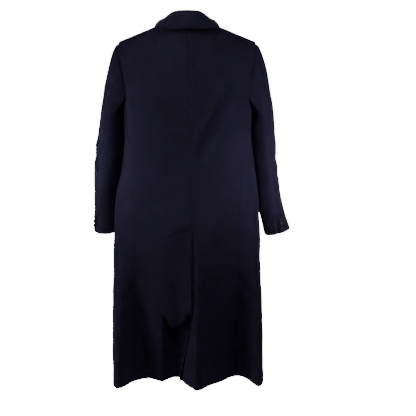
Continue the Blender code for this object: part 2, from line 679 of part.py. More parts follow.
def make_sides():
    shares = (np.array(lower_rows([VENT_TOP])) - CHEST_SHARE) / (1 - CHEST_SHARE)
    for side in (LEFT, RIGHT):
        rims = (("top", lambda at, n, s=side: armhole_out(s, at), slice(None)),)
        panel(f"side_{SIDE_NAMES[side]}", lambda a, d, s=side: side_panel(s, a, d),
              np.array(UNDERARM_COLUMNS), np.concatenate(([0], shares)), ("start", "end", "top"), rims=rims)


def make_fronts():
    shares = upper_rows() + lower_rows([BREAK_DROP, VENT_TOP])
    for side in (LEFT, RIGHT):
        rims = (("top", lambda at, n, s=side: shoulder_up(s), slice(None)),
                ("start", lambda at, n, s=side: armhole_out(s, at), slice(0, UPPER_ROWS + 1)))
        panel(f"front_{SIDE_NAMES[side]}", lambda a, d, s=side: front(s, a, d), np.linspace(0, 1, 11),
              np.array(shares), ("start", "top"), rims=rims)


def make_sleeves():
    behind = list(np.linspace(0, BACK_JUNCTION, UPPER_ROWS + 1))
    under = [BACK_JUNCTION + (FRONT_JUNCTION - BACK_JUNCTION) * c for c in UNDERARM_COLUMNS[1:]]
    before = list(np.linspace(FRONT_JUNCTION, 1, UPPER_ROWS + 1))[1:]
    turns = np.array(behind + under + before)
    back_at = int(np.argmin(np.abs(turns - BACK_SEAM_AT)))
    front_at = int(np.argmin(np.abs(turns - FRONT_SEAM_AT)))
    top_turns = np.concatenate((turns[front_at:-1] - 1, turns[:back_at + 1]))
    under_turns = turns[back_at:front_at + 1]
    for side in (LEFT, RIGHT):
        rows = SLEEVE_LEVELS[side]
        below = round((rows[-1].drop - rows[0].drop) / SLEEVE_STEP)
        shares = np.concatenate((np.linspace(0, CAP_SHARE, 7)[:-1], np.linspace(CAP_SHARE, 1, below + 1)))
        rims = (("top", lambda at, n, s=side: armhole_out(s, at), slice(None)),)

        def outward(at, s=side):
            return at - sleeve_middle(s, np.clip(-at[..., 2], 0.16, None))

        def top_face(turn, down, s=side):
            return sleeve(s, np.where(turn < 0, turn + 1, turn), down)

        def under_face(turn, down, s=side):
            return sleeve(s, turn, down)

        halves = (("top_sleeve", top_face, top_turns), ("under_sleeve", under_face, under_turns))
        for piece, face, columns in halves:
            panel(f"{piece}_{SIDE_NAMES[side]}", face, columns, shares, ("start", "end", "top"),
                  outward=outward, rims=rims)


# Collar and lapels

def collar_points():
    """The points of every line's section, from the centre back to the left front end."""
    lines = []
    for line, section in zip(COLLAR_LINES, COLLAR_SECTIONS):
        out, up = np.array(section).T
        if isinstance(line, CollarFlat):
            foot, edge = np.array(line.foot), np.array(line.edge)
            seen = foot + unit(edge - foot) * out[:, None]
            lines.append(above_front(LEFT, seen[:, 0], seen[:, 1], up))
        else:
            turn = math.radians(line.direction)
            way = np.array((math.sin(turn), math.cos(turn), 0))
            lines.append(np.array(line.foot) + way * out[:, None] + points(0, 0, up))
    half = np.array(lines)
    return np.concatenate((half[:0:-1] * np.array((-1, 1, 1)), half))


def collar(grid, along, down):
    """The collar's showing face: along runs from the right end at -1 to the left end, down from the foot."""
    along, down = np.broadcast_arrays(np.asarray(along, float), np.asarray(down, float))
    keys = np.linspace(-1, 1, len(grid))
    by_line = spline(keys, np.eye(len(keys)), along)
    by_point = spline(COLLAR_KEYS, np.eye(len(COLLAR_KEYS)), down)
    return np.einsum("...i,...j,ijk->...k", by_line, by_point, grid)


def make_collar():
    grid = collar_points()
    panel("collar", lambda a, d: collar(grid, a, d), np.linspace(-1, 1, 33), np.array(COLLAR_ROWS), (),
          outward=lambda at: at + np.array((0, 0, 0.3)), thickness=LAPEL_CLOTH)


def lapel(side, out, up):
    """Outer face of a lapel: out is 0 inside its roll and 1 at its outer edge, up is 0 at the break."""
    out, up = np.broadcast_arrays(np.asarray(out, float), np.asarray(up, float))
    lines = LAPEL_LINES[side]
    keys = np.linspace(0, 1, len(lines))
    roll, edge = (spline(keys, [getattr(line, c) for line in lines], up) for c in ("roll", "edge"))
    width = np.linalg.norm(edge - roll, axis=-1)
    fullness = np.clip((width - 0.02) / 0.04, 0, 1)
    beyond = read(LAPEL_BENDS, "at", "beyond", out)[..., None]
    lift = read(LAPEL_BENDS, "at", "lift", out)
    lift = LAPEL_LIFTS[side] + (lift - LAPEL_LIFTS[LEFT]) * fullness
    along = read(LAPEL_BENDS, "at", "across", out)[..., None]
    seen = roll + (edge - roll) * along - unit(edge - roll) * beyond
    return above_front(side, seen[..., 0], seen[..., 1], lift)


def make_lapels():
    for side in (LEFT, RIGHT):
        panel(f"lapel_{SIDE_NAMES[side]}", lambda a, d, s=side: lapel(s, a, d),
              np.array((0, 0.08, 0.18, 0.34, 0.56, 0.78, 1)), np.linspace(0, 1, 15), (),
              outward=lambda at: at * np.array((1, 1, 0)), thickness=LAPEL_CLOTH)


# Buttons

def turned_button(name, radius, height, place, way):
    """A dished disc with a rounded rim, seated just clear of the cloth."""
    sides = BUTTON_SIDES
    profile = ((0.70, 0), (0.96, 0.30), (1.0, 0.62), (0.90, 1.0), (0.66, 0.98), (0.52, 0.70))
    way = unit(np.asarray(way))
    across = unit(np.cross(way, np.array((0, 0, 1.0))))
    upward = np.cross(across, way)
    corners, faces = [], []
    for share, rise in profile:
        for k in range(sides):
            turn = 2 * math.pi * k / sides
            spoke = across * math.cos(turn) + upward * math.sin(turn)
            corners.append(place + spoke * radius * share + way * height * rise)
    for ring in range(len(profile) - 1):
        for k in range(sides):
            a, b = ring * sides + k, ring * sides + (k + 1) % sides
            faces.append([a, b, b + sides, a + sides])
    faces.append(list(range(sides))[::-1])
    faces.append([(len(profile) - 1) * sides + k for k in range(sides)])
    if volume(np.array(corners), faces) < 0:
        faces = [face[::-1] for face in faces]
    return new_object(name, corners, faces, HORN)


def make_buttons():
    for k, drop in enumerate(FRONT_BUTTON_DROPS, start=1):
        share, down = on_front(LEFT, 0.0, drop)
        way = facing(lambda a, d: front(LEFT, a, d), share, down, from_axis)
        place = front(LEFT, share, down) + way * BUTTON_SEAT
        turned_button(f"front_button_{k}", FRONT_BUTTON_RADIUS, FRONT_BUTTON_HEIGHT, place, way)
    for side in (LEFT, RIGHT):
        rows = SLEEVE_LEVELS[side]
        length = rows[-1].drop - rows[0].drop
        for k, rise in enumerate(CUFF_BUTTON_RISES, start=1):
            down = 1 - (1 - CAP_SHARE) * rise / length
            turn = BACK_SEAM_AT - CUFF_BUTTON_TURN
            place = sleeve(side, turn, down)
            way = facing(lambda t, d: sleeve(side, t, d), np.array(turn), np.array(down),
                         lambda at: at - sleeve_middle(side, -at[..., 2]))
            turned_button(f"cuff_button_{SIDE_NAMES[side]}_{k}", CUFF_BUTTON_RADIUS, CUFF_BUTTON_HEIGHT,
                          place + way * BUTTON_SEAT, way)


def main():
    for item in list(bpy.data.objects):
        bpy.data.objects.remove(item)
    make_backs()
    make_sides()
    make_fronts()
    make_sleeves()
    make_collar()
    make_lapels()
    make_buttons()


main()
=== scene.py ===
import math
from collections import namedtuple

import bpy
import numpy as np
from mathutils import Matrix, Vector


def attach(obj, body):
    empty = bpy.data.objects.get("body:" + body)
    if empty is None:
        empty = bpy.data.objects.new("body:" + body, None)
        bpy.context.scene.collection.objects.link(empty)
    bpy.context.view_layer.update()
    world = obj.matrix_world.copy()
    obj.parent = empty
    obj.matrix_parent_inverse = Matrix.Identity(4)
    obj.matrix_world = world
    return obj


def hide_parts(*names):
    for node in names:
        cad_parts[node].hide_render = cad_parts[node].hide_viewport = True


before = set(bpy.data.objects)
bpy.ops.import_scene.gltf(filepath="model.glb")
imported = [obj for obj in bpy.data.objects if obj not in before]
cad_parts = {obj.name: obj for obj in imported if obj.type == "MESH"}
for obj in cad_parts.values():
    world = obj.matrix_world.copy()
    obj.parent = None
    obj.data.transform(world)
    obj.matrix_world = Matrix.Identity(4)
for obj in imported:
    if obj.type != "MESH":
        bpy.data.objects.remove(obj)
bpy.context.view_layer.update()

# A long chesterfield coat, filled out as if worn, seen from behind. Metres, +Z up, the front faces -Y and
# the wearer's left is +X. "Drop" is the distance below the nape. Each cloth piece is a fine wall on the
# form of its CAD solid, with its creases, seams and edges.

# Driving dimensions, in metres
SHOULDER_WIDTH = 0.440
BACK_LENGTH = 1.165
NECK_WIDTH = 0.172
CHEST_DROP = 0.235
ARMHOLE_DIP = 0.040
CLOTH = 0.0024
LAPEL_CLOTH = 0.0030
LAP_GAP = 0.0015
LOOSE_LAP = 0.0030
FLUTE_FADE = 0.45

# How far the centre back seam moves to the wearer's right, and from which drop over what length
SEAM_SHIFT = 0.0126
SEAM_SHIFT_FROM, SEAM_SHIFT_RUN = 0.02, 0.16

# The back vent: the drop where it opens, the drop where its edge starts to swing aside and how far it has
# swung at the hem, the share of the right back that lies under the left and how far above the opening it
# starts, where it lies looser, and how it tucks in under the swung edge
VENT_TOP = 0.637
SWING_DROP, VENT_SPREAD = 0.918, 0.028
LAP_SHARE, LAP_RISE = 0.10, 0.030
LOOSE_DROP, LOOSE_RUN = 0.750, 0.15
UNDERLAP_TUCK, TUCK_WIDTH = 0.026, 0.034
TUCK_FROM, TUCK_RUN = 0.002, 0.20

# The fronts: how far each runs past the middle, how far from it the right one starts to lie under and over
# what width, the break's drop, and how near its edge the cloth lies flat
FRONT_LAP = 0.030
LAP_REACH, LAP_EASE = 0.045, 0.040
BREAK_DROP, BREAK_FADE = 0.430, 0.02
FLAT_EDGE, FLAT_FADE = 0.004, 0.030

# The slanting row of stitches under the vent's top: where it ends across and in drop, the groove it pulls
# and the lip beside it, how far from both ends the stitches lie, and each stitch
VENT_STITCH_END = (0.0566, 0.664)
GROOVE_BELOW = 0.001
GROOVE_DEPTH, GROOVE_WIDTH, GROOVE_FADE = 0.0030, 0.0058, 0.002
LIP_HEIGHT, LIP_WIDTH, LIP_AWAY = 0.0014, 0.0062, 0.0090
STITCH_ASIDE, STITCH_BELOW, STITCH_ENDS = 0.003, 0.002, (0.002, 0.003)
STITCH_SPACING, STITCH_LENGTH, STITCH_THREAD, STITCH_SINK = 0.0050, 0.0042, 0.00070, 0.0014

# The fall-in of the left skirt beside the open vent: the drop of its top at either end and how far the
# middle hangs below that, its depth, where it lies across, and how softly each side of it turns in
HOLLOW_TOP, HOLLOW_DIP, HOLLOW_DEPTH = 0.908, 0.056, 0.034
HOLLOW_MIDDLE, HOLLOW_HALF = 0.040, 0.042
HOLLOW_EDGE_FROM, HOLLOW_EDGE_TURN = 0.001, 0.006
HOLLOW_SIDE_TURN, HOLLOW_TOP_TURN = 0.014, 0.024

# The cuffs' vents: length, how softly they start, and the slit's depth and half width
CUFF_VENT, CUFF_VENT_FADE = 0.062, 0.010
CUFF_SLIT, CUFF_SLIT_WIDTH = 0.0032, 0.0030

# Buttons: their sizes, the drops of those on the front, how far those on a cuff lie above the sleeve's end
# and round from its back seam, and how far off the cloth they sit
FRONT_BUTTON_RADIUS = 0.0115
CUFF_BUTTON_RADIUS = 0.0075
FRONT_BUTTON_DROPS = (0.452, 0.572, 0.692)
CUFF_BUTTON_RISES = (0.022, 0.038, 0.054)
FRONT_BUTTON_HEIGHT = 0.0042
CUFF_BUTTON_HEIGHT = 0.0032
CUFF_BUTTON_TURN = 0.045
BUTTON_SEAT = 0.0006
BUTTON_SIDES = 48

# A button's section, from the middle of its back round the rim to the middle of its dished face, in shares
# of its radius and its height
BUTTON_SECTION = ((0.0, 0.06), (0.70, 0.0), (0.90, 0.10), (0.98, 0.32), (1.0, 0.62), (0.97, 0.86),
                  (0.90, 1.0), (0.80, 1.0), (0.68, 0.86), (0.56, 0.66), (0.40, 0.58), (0.0, 0.56))

# The crossed thread on a button: how far out its holes lie and its own radius, in shares of the button's
# radius, and its height beside the holes, in them and at its crown, in shares of the button's height
HOLE_AT, THREAD_RADIUS = 0.22, 0.07
THREAD_TOP, THREAD_BASE, THREAD_CROWN = 0.60, 0.30, 0.10

# A buttonhole: its length, half width and rounded ends, and the thread that edges it
BUTTONHOLE_LENGTH, BUTTONHOLE_HALF, BUTTONHOLE_END = 0.025, 0.0014, 0.0015
BUTTONHOLE_THREAD, BUTTONHOLE_LIFT = 0.0008, 0.0004

# How fine the cloth walls are, how near a seam or a stitched edge their close rows lie, how far from a seam
# neighbours share the way out, and how an edge is rounded
STEP = 0.0056
CLOSE = (0.0010, 0.0022, 0.0036, 0.0052, 0.0070, 0.0096)
STEER = 0.0080
ROUND_STEPS = 4
SHARP_ANGLE = 62

# Rounded lengths and widths of the panels, which set how many rows and columns each has; the collar and
# lapels have a step of their own too
CHEST_RUN, SKIRT_RUN, SIDE_RUN = 0.27, 0.93, 0.91
BACK_ACROSS, SIDE_ACROSS, FRONT_ACROSS = 0.20, 0.16, 0.20
UNDERLAP_SHARE = 0.36
SLEEVE_HEAD_RUN, SLEEVE_ACROSS = 0.17, 0.20
COLLAR_ALONG, COLLAR_DOWN = (0.56, 0.0046), (0.105, 0.0022)
LAPEL_OUT, LAPEL_UP = (0.10, 0.0036), (0.38, 0.0048)

# A step small enough to read a slope, and how often a place on the front is brought nearer
NUDGE = 1e-4
NEARER_STEPS = 24

# Sewing: depth and half width of a pressed seam, of the step round the armhole, of a stitched edge's line
# and of the turned-up hem's line, and how near the shoulder and armhole seams the folds die out
SEAM_DEPTH, SEAM_WIDTH = 0.0012, 0.0024
ARMHOLE_DEPTH, ARMHOLE_WIDTH = 0.0042, 0.0060
EDGE_LINE, EDGE_DEPTH, EDGE_WIDTH = 0.0062, 0.0004, 0.0012
HEM_TURN, HEM_DEPTH, HEM_WIDTH = 0.042, 0.0005, 0.0040
STILL_WIDTH = 0.012

# Shares of a body panel's length above the chest, and of a sleeve's in its head
CHEST_SHARE = 0.24
CAP_SHARE = 0.28

LEFT, RIGHT = 1, -1
SIDE_NAMES = {LEFT: "left", RIGHT: "right"}

# One row for each level of the body: half widths either side, depths behind and before the origin, how
# square the level is (2 is an ellipse), and how far across the side seams run
BodyLevel = namedtuple("BodyLevel", "name drop left right back front square side_back side_front")
BODY_LEVELS = (
    BodyLevel("shoulder blade", 0.150, 0.2080, 0.2090, 0.118, 0.112, 2.5, 0.1990, 0.176),
    BodyLevel("chest", 0.235, 0.2050, 0.2080, 0.126, 0.134, 2.4, 0.1930, 0.178),
    BodyLevel("rib", 0.340, 0.2000, 0.2065, 0.121, 0.134, 2.4, 0.1870, 0.172),
    BodyLevel("waist", 0.450, 0.2110, 0.2190, 0.112, 0.127, 2.4, 0.1790, 0.172),
    BodyLevel("high hip", 0.560, 0.2330, 0.2330, 0.119, 0.128, 2.4, 0.1700, 0.174),
    BodyLevel("hip", 0.660, 0.2390, 0.2390, 0.126, 0.132, 2.5, 0.1670, 0.176),
    BodyLevel("thigh", 0.820, 0.2450, 0.2450, 0.116, 0.134, 2.7, 0.1670, 0.178),
    BodyLevel("knee", 1.000, 0.2475, 0.2530, 0.101, 0.136, 2.9, 0.1660, 0.180),
    BodyLevel("hem", 1.165, 0.2490, 0.2570, 0.088, 0.136, 3.0, 0.1640, 0.182),
)

# The skirt's flutes: which face each is on, the drops where it starts and is full, how far across it
# runs at those drops, its width, and how far out it stands
Flute = namedtuple("Flute", "name face start full start_across across width out")
FLUTES = (
    Flute("left corner crest", "back", 0.62, 1.165, 0.224, 0.229, 0.034, 0.071),
    Flute("left seam valley", "back", 0.48, 1.165, 0.163, 0.130, 0.044, -0.050),
    Flute("left panel crest", "back", 0.80, 1.130, 0.082, 0.072, 0.026, -0.011),
    Flute("vent valley", "back", 0.88, 1.090, 0.024, 0.030, 0.018, -0.023),
    Flute("main crest", "back", 0.60, 1.165, -0.022, -0.032, 0.036, 0.055),
    Flute("right seam valley", "back", 0.48, 1.165, -0.160, -0.164, 0.050, -0.066),
    Flute("right corner crest", "back", 0.60, 1.165, -0.224, -0.235, 0.025, 0.062),
    Flute("left front crest", "front", 0.58, 1.165, 0.160, 0.168, 0.045, 0.030),
    Flute("left front valley", "front", 0.55, 1.165, 0.092, 0.086, 0.034, -0.030),
    Flute("front edge crest", "front", 0.72, 1.165, 0.000, 0.006, 0.040, 0.014),
    Flute("right front valley", "front", 0.55, 1.165, -0.104, -0.098, 0.038, -0.032),
    Flute("right front crest", "front", 0.60, 1.165, -0.172, -0.178, 0.040, 0.028),
)

# One row for each level of a sleeve: how far out its outer side lies, its distance from the body, where
# along the body's side it lies front to back, its half depth, how far it turns to lie along the body, in
# degrees, and where its back and front seams run, in degrees round from the outer side towards the back
SleeveLevel = namedtuple("SleeveLevel", "name drop outer clear back half_depth lean back_seam front_seam")
SLEEVE_LEVELS = {
    LEFT: (
        SleeveLevel("bicep", 0.300, 0.2820, 0.0040, -0.016, 0.0720, 7, 82, 242),
        SleeveLevel("upper arm", 0.390, 0.2960, 0.0026, -0.026, 0.0670, 11, 79, 243),
        SleeveLevel("elbow", 0.490, 0.3050, 0.0030, -0.034, 0.0615, 13, 69, 243),
        SleeveLevel("forearm", 0.590, 0.3090, 0.0060, -0.046, 0.0550, 10, 68, 238),
        SleeveLevel("cuff", 0.675, 0.3130, 0.0075, -0.064, 0.0485, 4, 46, 229),
    ),
    RIGHT: (
        SleeveLevel("bicep", 0.300, 0.2805, 0.0034, -0.016, 0.0720, 7, 82, 242),
        SleeveLevel("upper arm", 0.390, 0.2895, 0.0026, -0.026, 0.0670, 11, 69, 243),
        SleeveLevel("elbow", 0.490, 0.2975, 0.0030, -0.030, 0.0645, 12, 48, 242),
        SleeveLevel("forearm", 0.590, 0.3180, 0.0060, -0.034, 0.0560, 8, 84, 236),
        SleeveLevel("cuff", 0.675, 0.3460, 0.0240, -0.046, 0.0490, 0, 92, 225),
    ),
}

# How the sleeve head leaves the armhole, round from the shoulder point by the back
HeadHandle = namedtuple("HeadHandle", "name at out back down reach arrival")
HEAD_HANDLES = (
    HeadHandle("shoulder point", 0.00, 0.73, 0.00, 0.68, 0.034, 0.120),
    HeadHandle("back", 0.18, 0.72, 0.42, 0.55, 0.042, 0.080),
    HeadHandle("back junction", 0.36, 0.60, 0.25, 0.76, 0.026, 0.040),
    HeadHandle("underarm", 0.51, 0.80, 0.00, 0.60, 0.008, 0.012),
    HeadHandle("front junction", 0.66, 0.60, -0.25, 0.76, 0.024, 0.036),
    HeadHandle("front", 0.83, 0.74, -0.45, 0.50, 0.040, 0.080),
    HeadHandle("shoulder point again", 1.00, 0.73, 0.00, 0.68, 0.034, 0.120),
)
BACK_JUNCTION, FRONT_JUNCTION = 0.36, 0.66
BACK_SEAM_AT, FRONT_SEAM_AT = 0.225, 0.7025

# The collar from the centre back round to the wearer's left end. Each line starts at a foot and heads
# off in a direction, in degrees from straight back for the first lines. The last lines lie on the
# front, their feet and edges drawn as seen from before: sideways and drop.
CollarLine = namedtuple("CollarLine", "name foot direction")
CollarFlat = namedtuple("CollarFlat", "name foot edge")
COLLAR_LINES = (
    CollarLine("centre back", (0.0000, 0.0632, 0.0004), 0),
    CollarLine("behind the neck", (0.0415, 0.0553, -0.0003), 28),
    CollarLine("neck side", (0.0735, 0.0315, -0.0009), 48),
    CollarLine("shoulder", (0.0832, 0.0035, -0.0010), 82),
    CollarFlat("upper chest", (0.0780, 0.0240), (0.1130, 0.0380)),
    CollarFlat("gorge", (0.0700, 0.0635), (0.1320, 0.0604)),
    CollarFlat("notch", (0.1060, 0.0930), (0.1390, 0.0737)),
)

# Each line's section: how far out from the foot and how far up, or off the front, each point lies
CollarSection = namedtuple("CollarSection", "foot inside top outside middle edge")
COLLAR_SECTIONS = (
    CollarSection((0, 0), (-0.0035, 0.0318), (0.0015, 0.0375), (0.0070, 0.0325), (0.0180, 0.0075),
                  (0.0275, -0.0190)),
    CollarSection((0, 0), (-0.0045, 0.0290), (0.0005, 0.0348), (0.0060, 0.0298), (0.0190, 0.0062),
                  (0.0300, -0.0182)),
    CollarSection((0, 0), (-0.0105, 0.0126), (-0.0060, 0.0180), (0.0000, 0.0160), (0.0160, 0.0040),
                  (0.0300, -0.0112)),
    CollarSection((0, 0), (-0.0085, 0.0050), (-0.0038, 0.0100), (0.0022, 0.0092), (0.0096, 0.0056),
                  (0.0170, -0.0004)),
    CollarSection((-0.0045, 0.0018), (-0.0052, 0.0055), (-0.0010, 0.0102), (0.0052, 0.0096),
                  (0.0210, 0.0068), (0.0377, 0.0050)),
    CollarSection((-0.0035, 0.0022), (-0.0042, 0.0056), (0.0002, 0.0102), (0.0068, 0.0096),
                  (0.0320, 0.0062), (0.0621, 0.0048)),
    CollarSection((0, 0.0050), (0.0030, 0.0052), (0.0070, 0.0052), (0.0120, 0.0051), (0.0240, 0.0049),
                  (0.0382, 0.0046)),
)
COLLAR_KEYS = (0, 0.28, 0.36, 0.44, 0.72, 1)

# The lapel, drawn flat in the same way: its roll and its outer edge, from the break point up
LapelLine = namedtuple("LapelLine", "name roll edge")
LAPEL_TOP = (
    LapelLine("chest", (0.0370, 0.170), (0.1310, 0.166)),
    LapelLine("gorge", (0.0620, 0.0675), (0.1530, 0.1270)),
)
LAPEL_LINES = {
    LEFT: (
        LapelLine("break", (-0.0265, 0.424), (-0.0120, 0.4215)),
        LapelLine("low", (-0.0110, 0.362), (0.0400, 0.345)),
        LapelLine("middle", (0.0125, 0.268), (0.0900, 0.250)),
        *LAPEL_TOP,
    ),
    RIGHT: (
        LapelLine("under the left lapel", (0.0300, 0.372), (0.0330, 0.3690)),
        LapelLine("low", (0.0200, 0.333), (0.0490, 0.3320)),
        LapelLine("crossing", (0.0085, 0.296), (0.0700, 0.2900)),
        LapelLine("middle", (0.0190, 0.245), (0.1000, 0.2280)),
        *LAPEL_TOP,
    ),
}

# How far off the front each lapel lies, its widths where it starts to lie fuller and how much wider it is
# when full, and its section from inside the roll to the outer edge
LAPEL_LIFTS = {LEFT: 0.0042, RIGHT: 0.0050}
LAPEL_NARROW, LAPEL_WIDENING = 0.02, 0.04
LapelBend = namedtuple("LapelBend", "at across beyond lift")
LAPEL_BENDS = (
    LapelBend(0.00, 0.00, 0.0036, -0.0004),
    LapelBend(0.08, 0.00, 0.0042, 0.0036),
    LapelBend(0.18, 0.04, 0.0010, 0.0078),
    LapelBend(0.34, 0.20, 0.0000, 0.0080),
    LapelBend(0.66, 0.62, 0.0000, 0.0056),
    LapelBend(1.00, 1.00, 0.0000, 0.0042),
)

# Creases, listed one by one: where each starts and ends (across and drop on the body, degrees round and drop
# on a sleeve), how far its middle bows aside, its half width, and how far out it stands
Crease = namedtuple("Crease", "name start end bow width out")
BODY_CREASES = {
    "back": (
        Crease("drag fold from the right armhole", (-0.133, 0.170), (-0.0155, 0.409), 0.006, 0.019, 0.0125),
        Crease("hollow beside the drag fold", (-0.158, 0.184), (-0.040, 0.434), 0.007, 0.017, -0.0135),
        Crease("short crease at the left rib", (0.121, 0.351), (0.083, 0.357), 0.002, 0.0045, -0.0026),
        Crease("lip over the short crease", (0.124, 0.342), (0.081, 0.348), 0.002, 0.0055, 0.0020),
        Crease("crease over the left hip", (0.140, 0.528), (0.058, 0.575), -0.008, 0.0080, -0.0045),
        Crease("lip over the hip crease", (0.137, 0.512), (0.058, 0.559), -0.008, 0.0095, 0.0036),
        Crease("hollow over the left hip", (0.132, 0.470), (0.083, 0.590), 0.008, 0.026, -0.0045),
        Crease("left valley", (0.160, 0.830), (0.174, 1.240), 0.004, 0.014, -0.0050),
        Crease("right valley", (-0.170, 0.780), (-0.179, 1.240), 0.000, 0.014, -0.0050),
        Crease("ridge in the left valley", (0.158, 0.945), (0.112, 1.140), -0.006, 0.0105, 0.0095),
        Crease("fold by the left cuff", (0.214, 0.660), (0.180, 0.696), 0.003, 0.0080, -0.0040),
        Crease("small fold by the left cuff", (0.214, 0.700), (0.190, 0.682), 0.002, 0.0060, -0.0030),
        Crease("fold on the left corner", (0.214, 0.900), (0.163, 0.812), 0.006, 0.0120, -0.0050),
        Crease("low fold on the left corner", (0.228, 0.975), (0.196, 0.896), 0.004, 0.0110, -0.0040),
        Crease("fold on the right corner", (-0.160, 0.796), (-0.220, 0.906), -0.006, 0.0120, -0.0050),
        Crease("low fold on the right corner", (-0.192, 0.915), (-0.236, 1.014), -0.004, 0.0100, -0.0038),
        Crease("hollow by the left armhole", (0.163, 0.120), (0.160, 0.330), 0.006, 0.018, -0.0035),
        Crease("hollow right of the seam", (-0.030, 0.120), (-0.038, 0.250), 0.002, 0.012, -0.0020),
        Crease("soft fold below the collar", (0.060, 0.055), (0.120, 0.120), 0.004, 0.020, -0.0024),
        Crease("crease over the right hip", (-0.060, 0.530), (-0.135, 0.580), 0.006, 0.0110, -0.0022),
        Crease("step beside the vent's edge", (-0.0205, 0.636), (-0.0205, 0.925), 0.000, 0.0042, -0.0080),
        Crease("edge of the vent", (-0.006, 0.645), (-0.006, 0.915), 0.000, 0.0062, 0.0018),
        Crease("vent panel's fullness", (0.055, 0.690), (0.068, 0.930), 0.004, 0.034, 0.0050),
        Crease("right panel's fullness", (-0.078, 0.500), (-0.050, 0.860), -0.006, 0.040, 0.0040),
    ),
    "front": (
        Crease("pull from the top button", (0.014, 0.448), (0.110, 0.405), 0.004, 0.0110, -0.0026),
        Crease("pull under the top button", (0.014, 0.462), (0.095, 0.485), -0.003, 0.0120, -0.0022),
        Crease("pull on the right", (-0.034, 0.455), (-0.125, 0.410), -0.004, 0.0120, -0.0026),
        Crease("left chest hollow", (0.150, 0.150), (0.118, 0.300), 0.006, 0.022, -0.0030),
        Crease("right chest hollow", (-0.150, 0.150), (-0.122, 0.290), -0.006, 0.022, -0.0030),
        Crease("crease at the left waist", (0.165, 0.500), (0.095, 0.545), 0.004, 0.0090, -0.0024),
        Crease("crease at the right waist", (-0.168, 0.490), (-0.100, 0.530), -0.004, 0.0100, -0.0024),
        Crease("fold on the left skirt", (0.120, 0.760), (0.132, 1.060), 0.006, 0.016, 0.0040),
        Crease("fold on the right skirt", (-0.060, 0.800), (-0.066, 1.090), 0.005, 0.015, 0.0040),
    ),
}
SLEEVE_CREASES = {
    LEFT: (
        Crease("high elbow ridge", (-10, 0.395), (105, 0.372), 0.004, 0.0110, 0.0019),
        Crease("elbow crease", (5, 0.428), (120, 0.400), 0.005, 0.0090, -0.0021),
        Crease("elbow ridge", (0, 0.452), (110, 0.432), 0.004, 0.0110, 0.0020),
        Crease("low elbow crease", (20, 0.486), (112, 0.462), 0.004, 0.0085, -0.0016),
        Crease("forearm crease", (-20, 0.560), (75, 0.528), 0.004, 0.0100, -0.0015),
        Crease("upper arm hollow", (60, 0.230), (95, 0.350), 0.006, 0.0160, -0.0019),
        Crease("front elbow crease", (200, 0.410), (310, 0.440), 0.004, 0.0100, -0.0021),
        Crease("front elbow ridge", (205, 0.434), (300, 0.462), 0.004, 0.0110, 0.0019),
        Crease("low front crease", (220, 0.470), (300, 0.500), 0.004, 0.0090, -0.0016),
        Crease("cuff hollow", (0, 0.610), (50, 0.585), 0.003, 0.0120, -0.0011),
    ),
    RIGHT: (
        Crease("high elbow ridge", (0, 0.380), (110, 0.396), 0.004, 0.0120, 0.0016),
        Crease("elbow crease", (-15, 0.440), (105, 0.418), 0.005, 0.0100, -0.0021),
        Crease("elbow ridge", (-5, 0.468), (95, 0.446), 0.004, 0.0110, 0.0021),
        Crease("low elbow crease", (-10, 0.500), (70, 0.474), 0.004, 0.0090, -0.0019),
        Crease("forearm hollow", (95, 0.560), (130, 0.640), 0.004, 0.0120, -0.0016),
        Crease("upper arm hollow", (60, 0.220), (98, 0.335), 0.006, 0.0160, -0.0017),
        Crease("front elbow crease", (205, 0.420), (315, 0.448), 0.004, 0.0100, -0.0020),
        Crease("front elbow ridge", (205, 0.446), (305, 0.472), 0.004, 0.0110, 0.0017),
        Crease("low front crease", (225, 0.482), (300, 0.512), 0.004, 0.0090, -0.0016),
    ),
}

# How blunt a crease's ends are, how far the cloth has to face one way for its creases to show, a sleeve's
# usual radius, which turns degrees into metres, and the drop where its middle line starts
CREASE_BLUNT = 0.8
FACE_FROM, FACE_TURN = 0.15, 0.45
CREASE_RADIUS = 0.060
SLEEVE_TOP_DROP = 0.16

# Slow waves in the cloth: the way each runs, its length, its start and its height
Wave = namedtuple("Wave", "along length shift height")
WAVES = (
    Wave((0.9, 0.3, 0.5), 0.130, 0.4, 0.00055),
    Wave((-0.5, 0.4, 0.9), 0.087, 2.1, 0.00040),
    Wave((0.3, -0.9, 0.6), 0.101, 4.0, 0.00045),
    Wave((0.8, 0.2, -0.9), 0.053, 1.2, 0.00022),
    Wave((-0.7, 0.9, 0.3), 0.039, 5.1, 0.00014),
)


# Small tools for tables and curves

def smooth(share):
    """0 to 1 with a soft start and end."""
    share = np.clip(share, 0, 1)
    return share * share * (3 - 2 * share)


def spline(keys, values, at):
    """Values read between keys on a smooth curve, and straight on past either end."""
    keys, values, at = (np.asarray(x, float) for x in (keys, values, at))
    slopes = np.gradient(values, keys, axis=0)
    index = np.clip(np.searchsorted(keys, at) - 1, 0, len(keys) - 2)
    span = keys[index + 1] - keys[index]
    t = (at - keys[index]) / span
    inside = np.clip(t, 0, 1)
    outside = (t - inside) * span
    more = (1,) * (values.ndim - 1)
    t, span, outside = (x.reshape(x.shape + more) for x in (inside, span, outside))
    start, end = values[index], values[index + 1]
    first, last = slopes[index] * span, slopes[index + 1] * span
    bent = (start * (1 + 2 * t) * (1 - t) ** 2 + end * t * t * (3 - 2 * t)
            + first * t * (1 - t) ** 2 - last * t * t * (1 - t))
    return bent + np.where(outside < 0, slopes[index], slopes[index + 1]) * outside


def read(rows, key, column, at):
    """One column of a table, read at a value of its key column."""
    return spline([getattr(r, key) for r in rows], [getattr(r, column) for r in rows], at)


def bezier(start, first, second, end, t):
    t = np.asarray(t, float)[..., None]
    return (start * (1 - t) ** 3 + 3 * first * t * (1 - t) ** 2
            + 3 * second * t * t * (1 - t) + end * t ** 3)


def unit(vectors):
    return vectors / np.linalg.norm(vectors, axis=-1, keepdims=True)


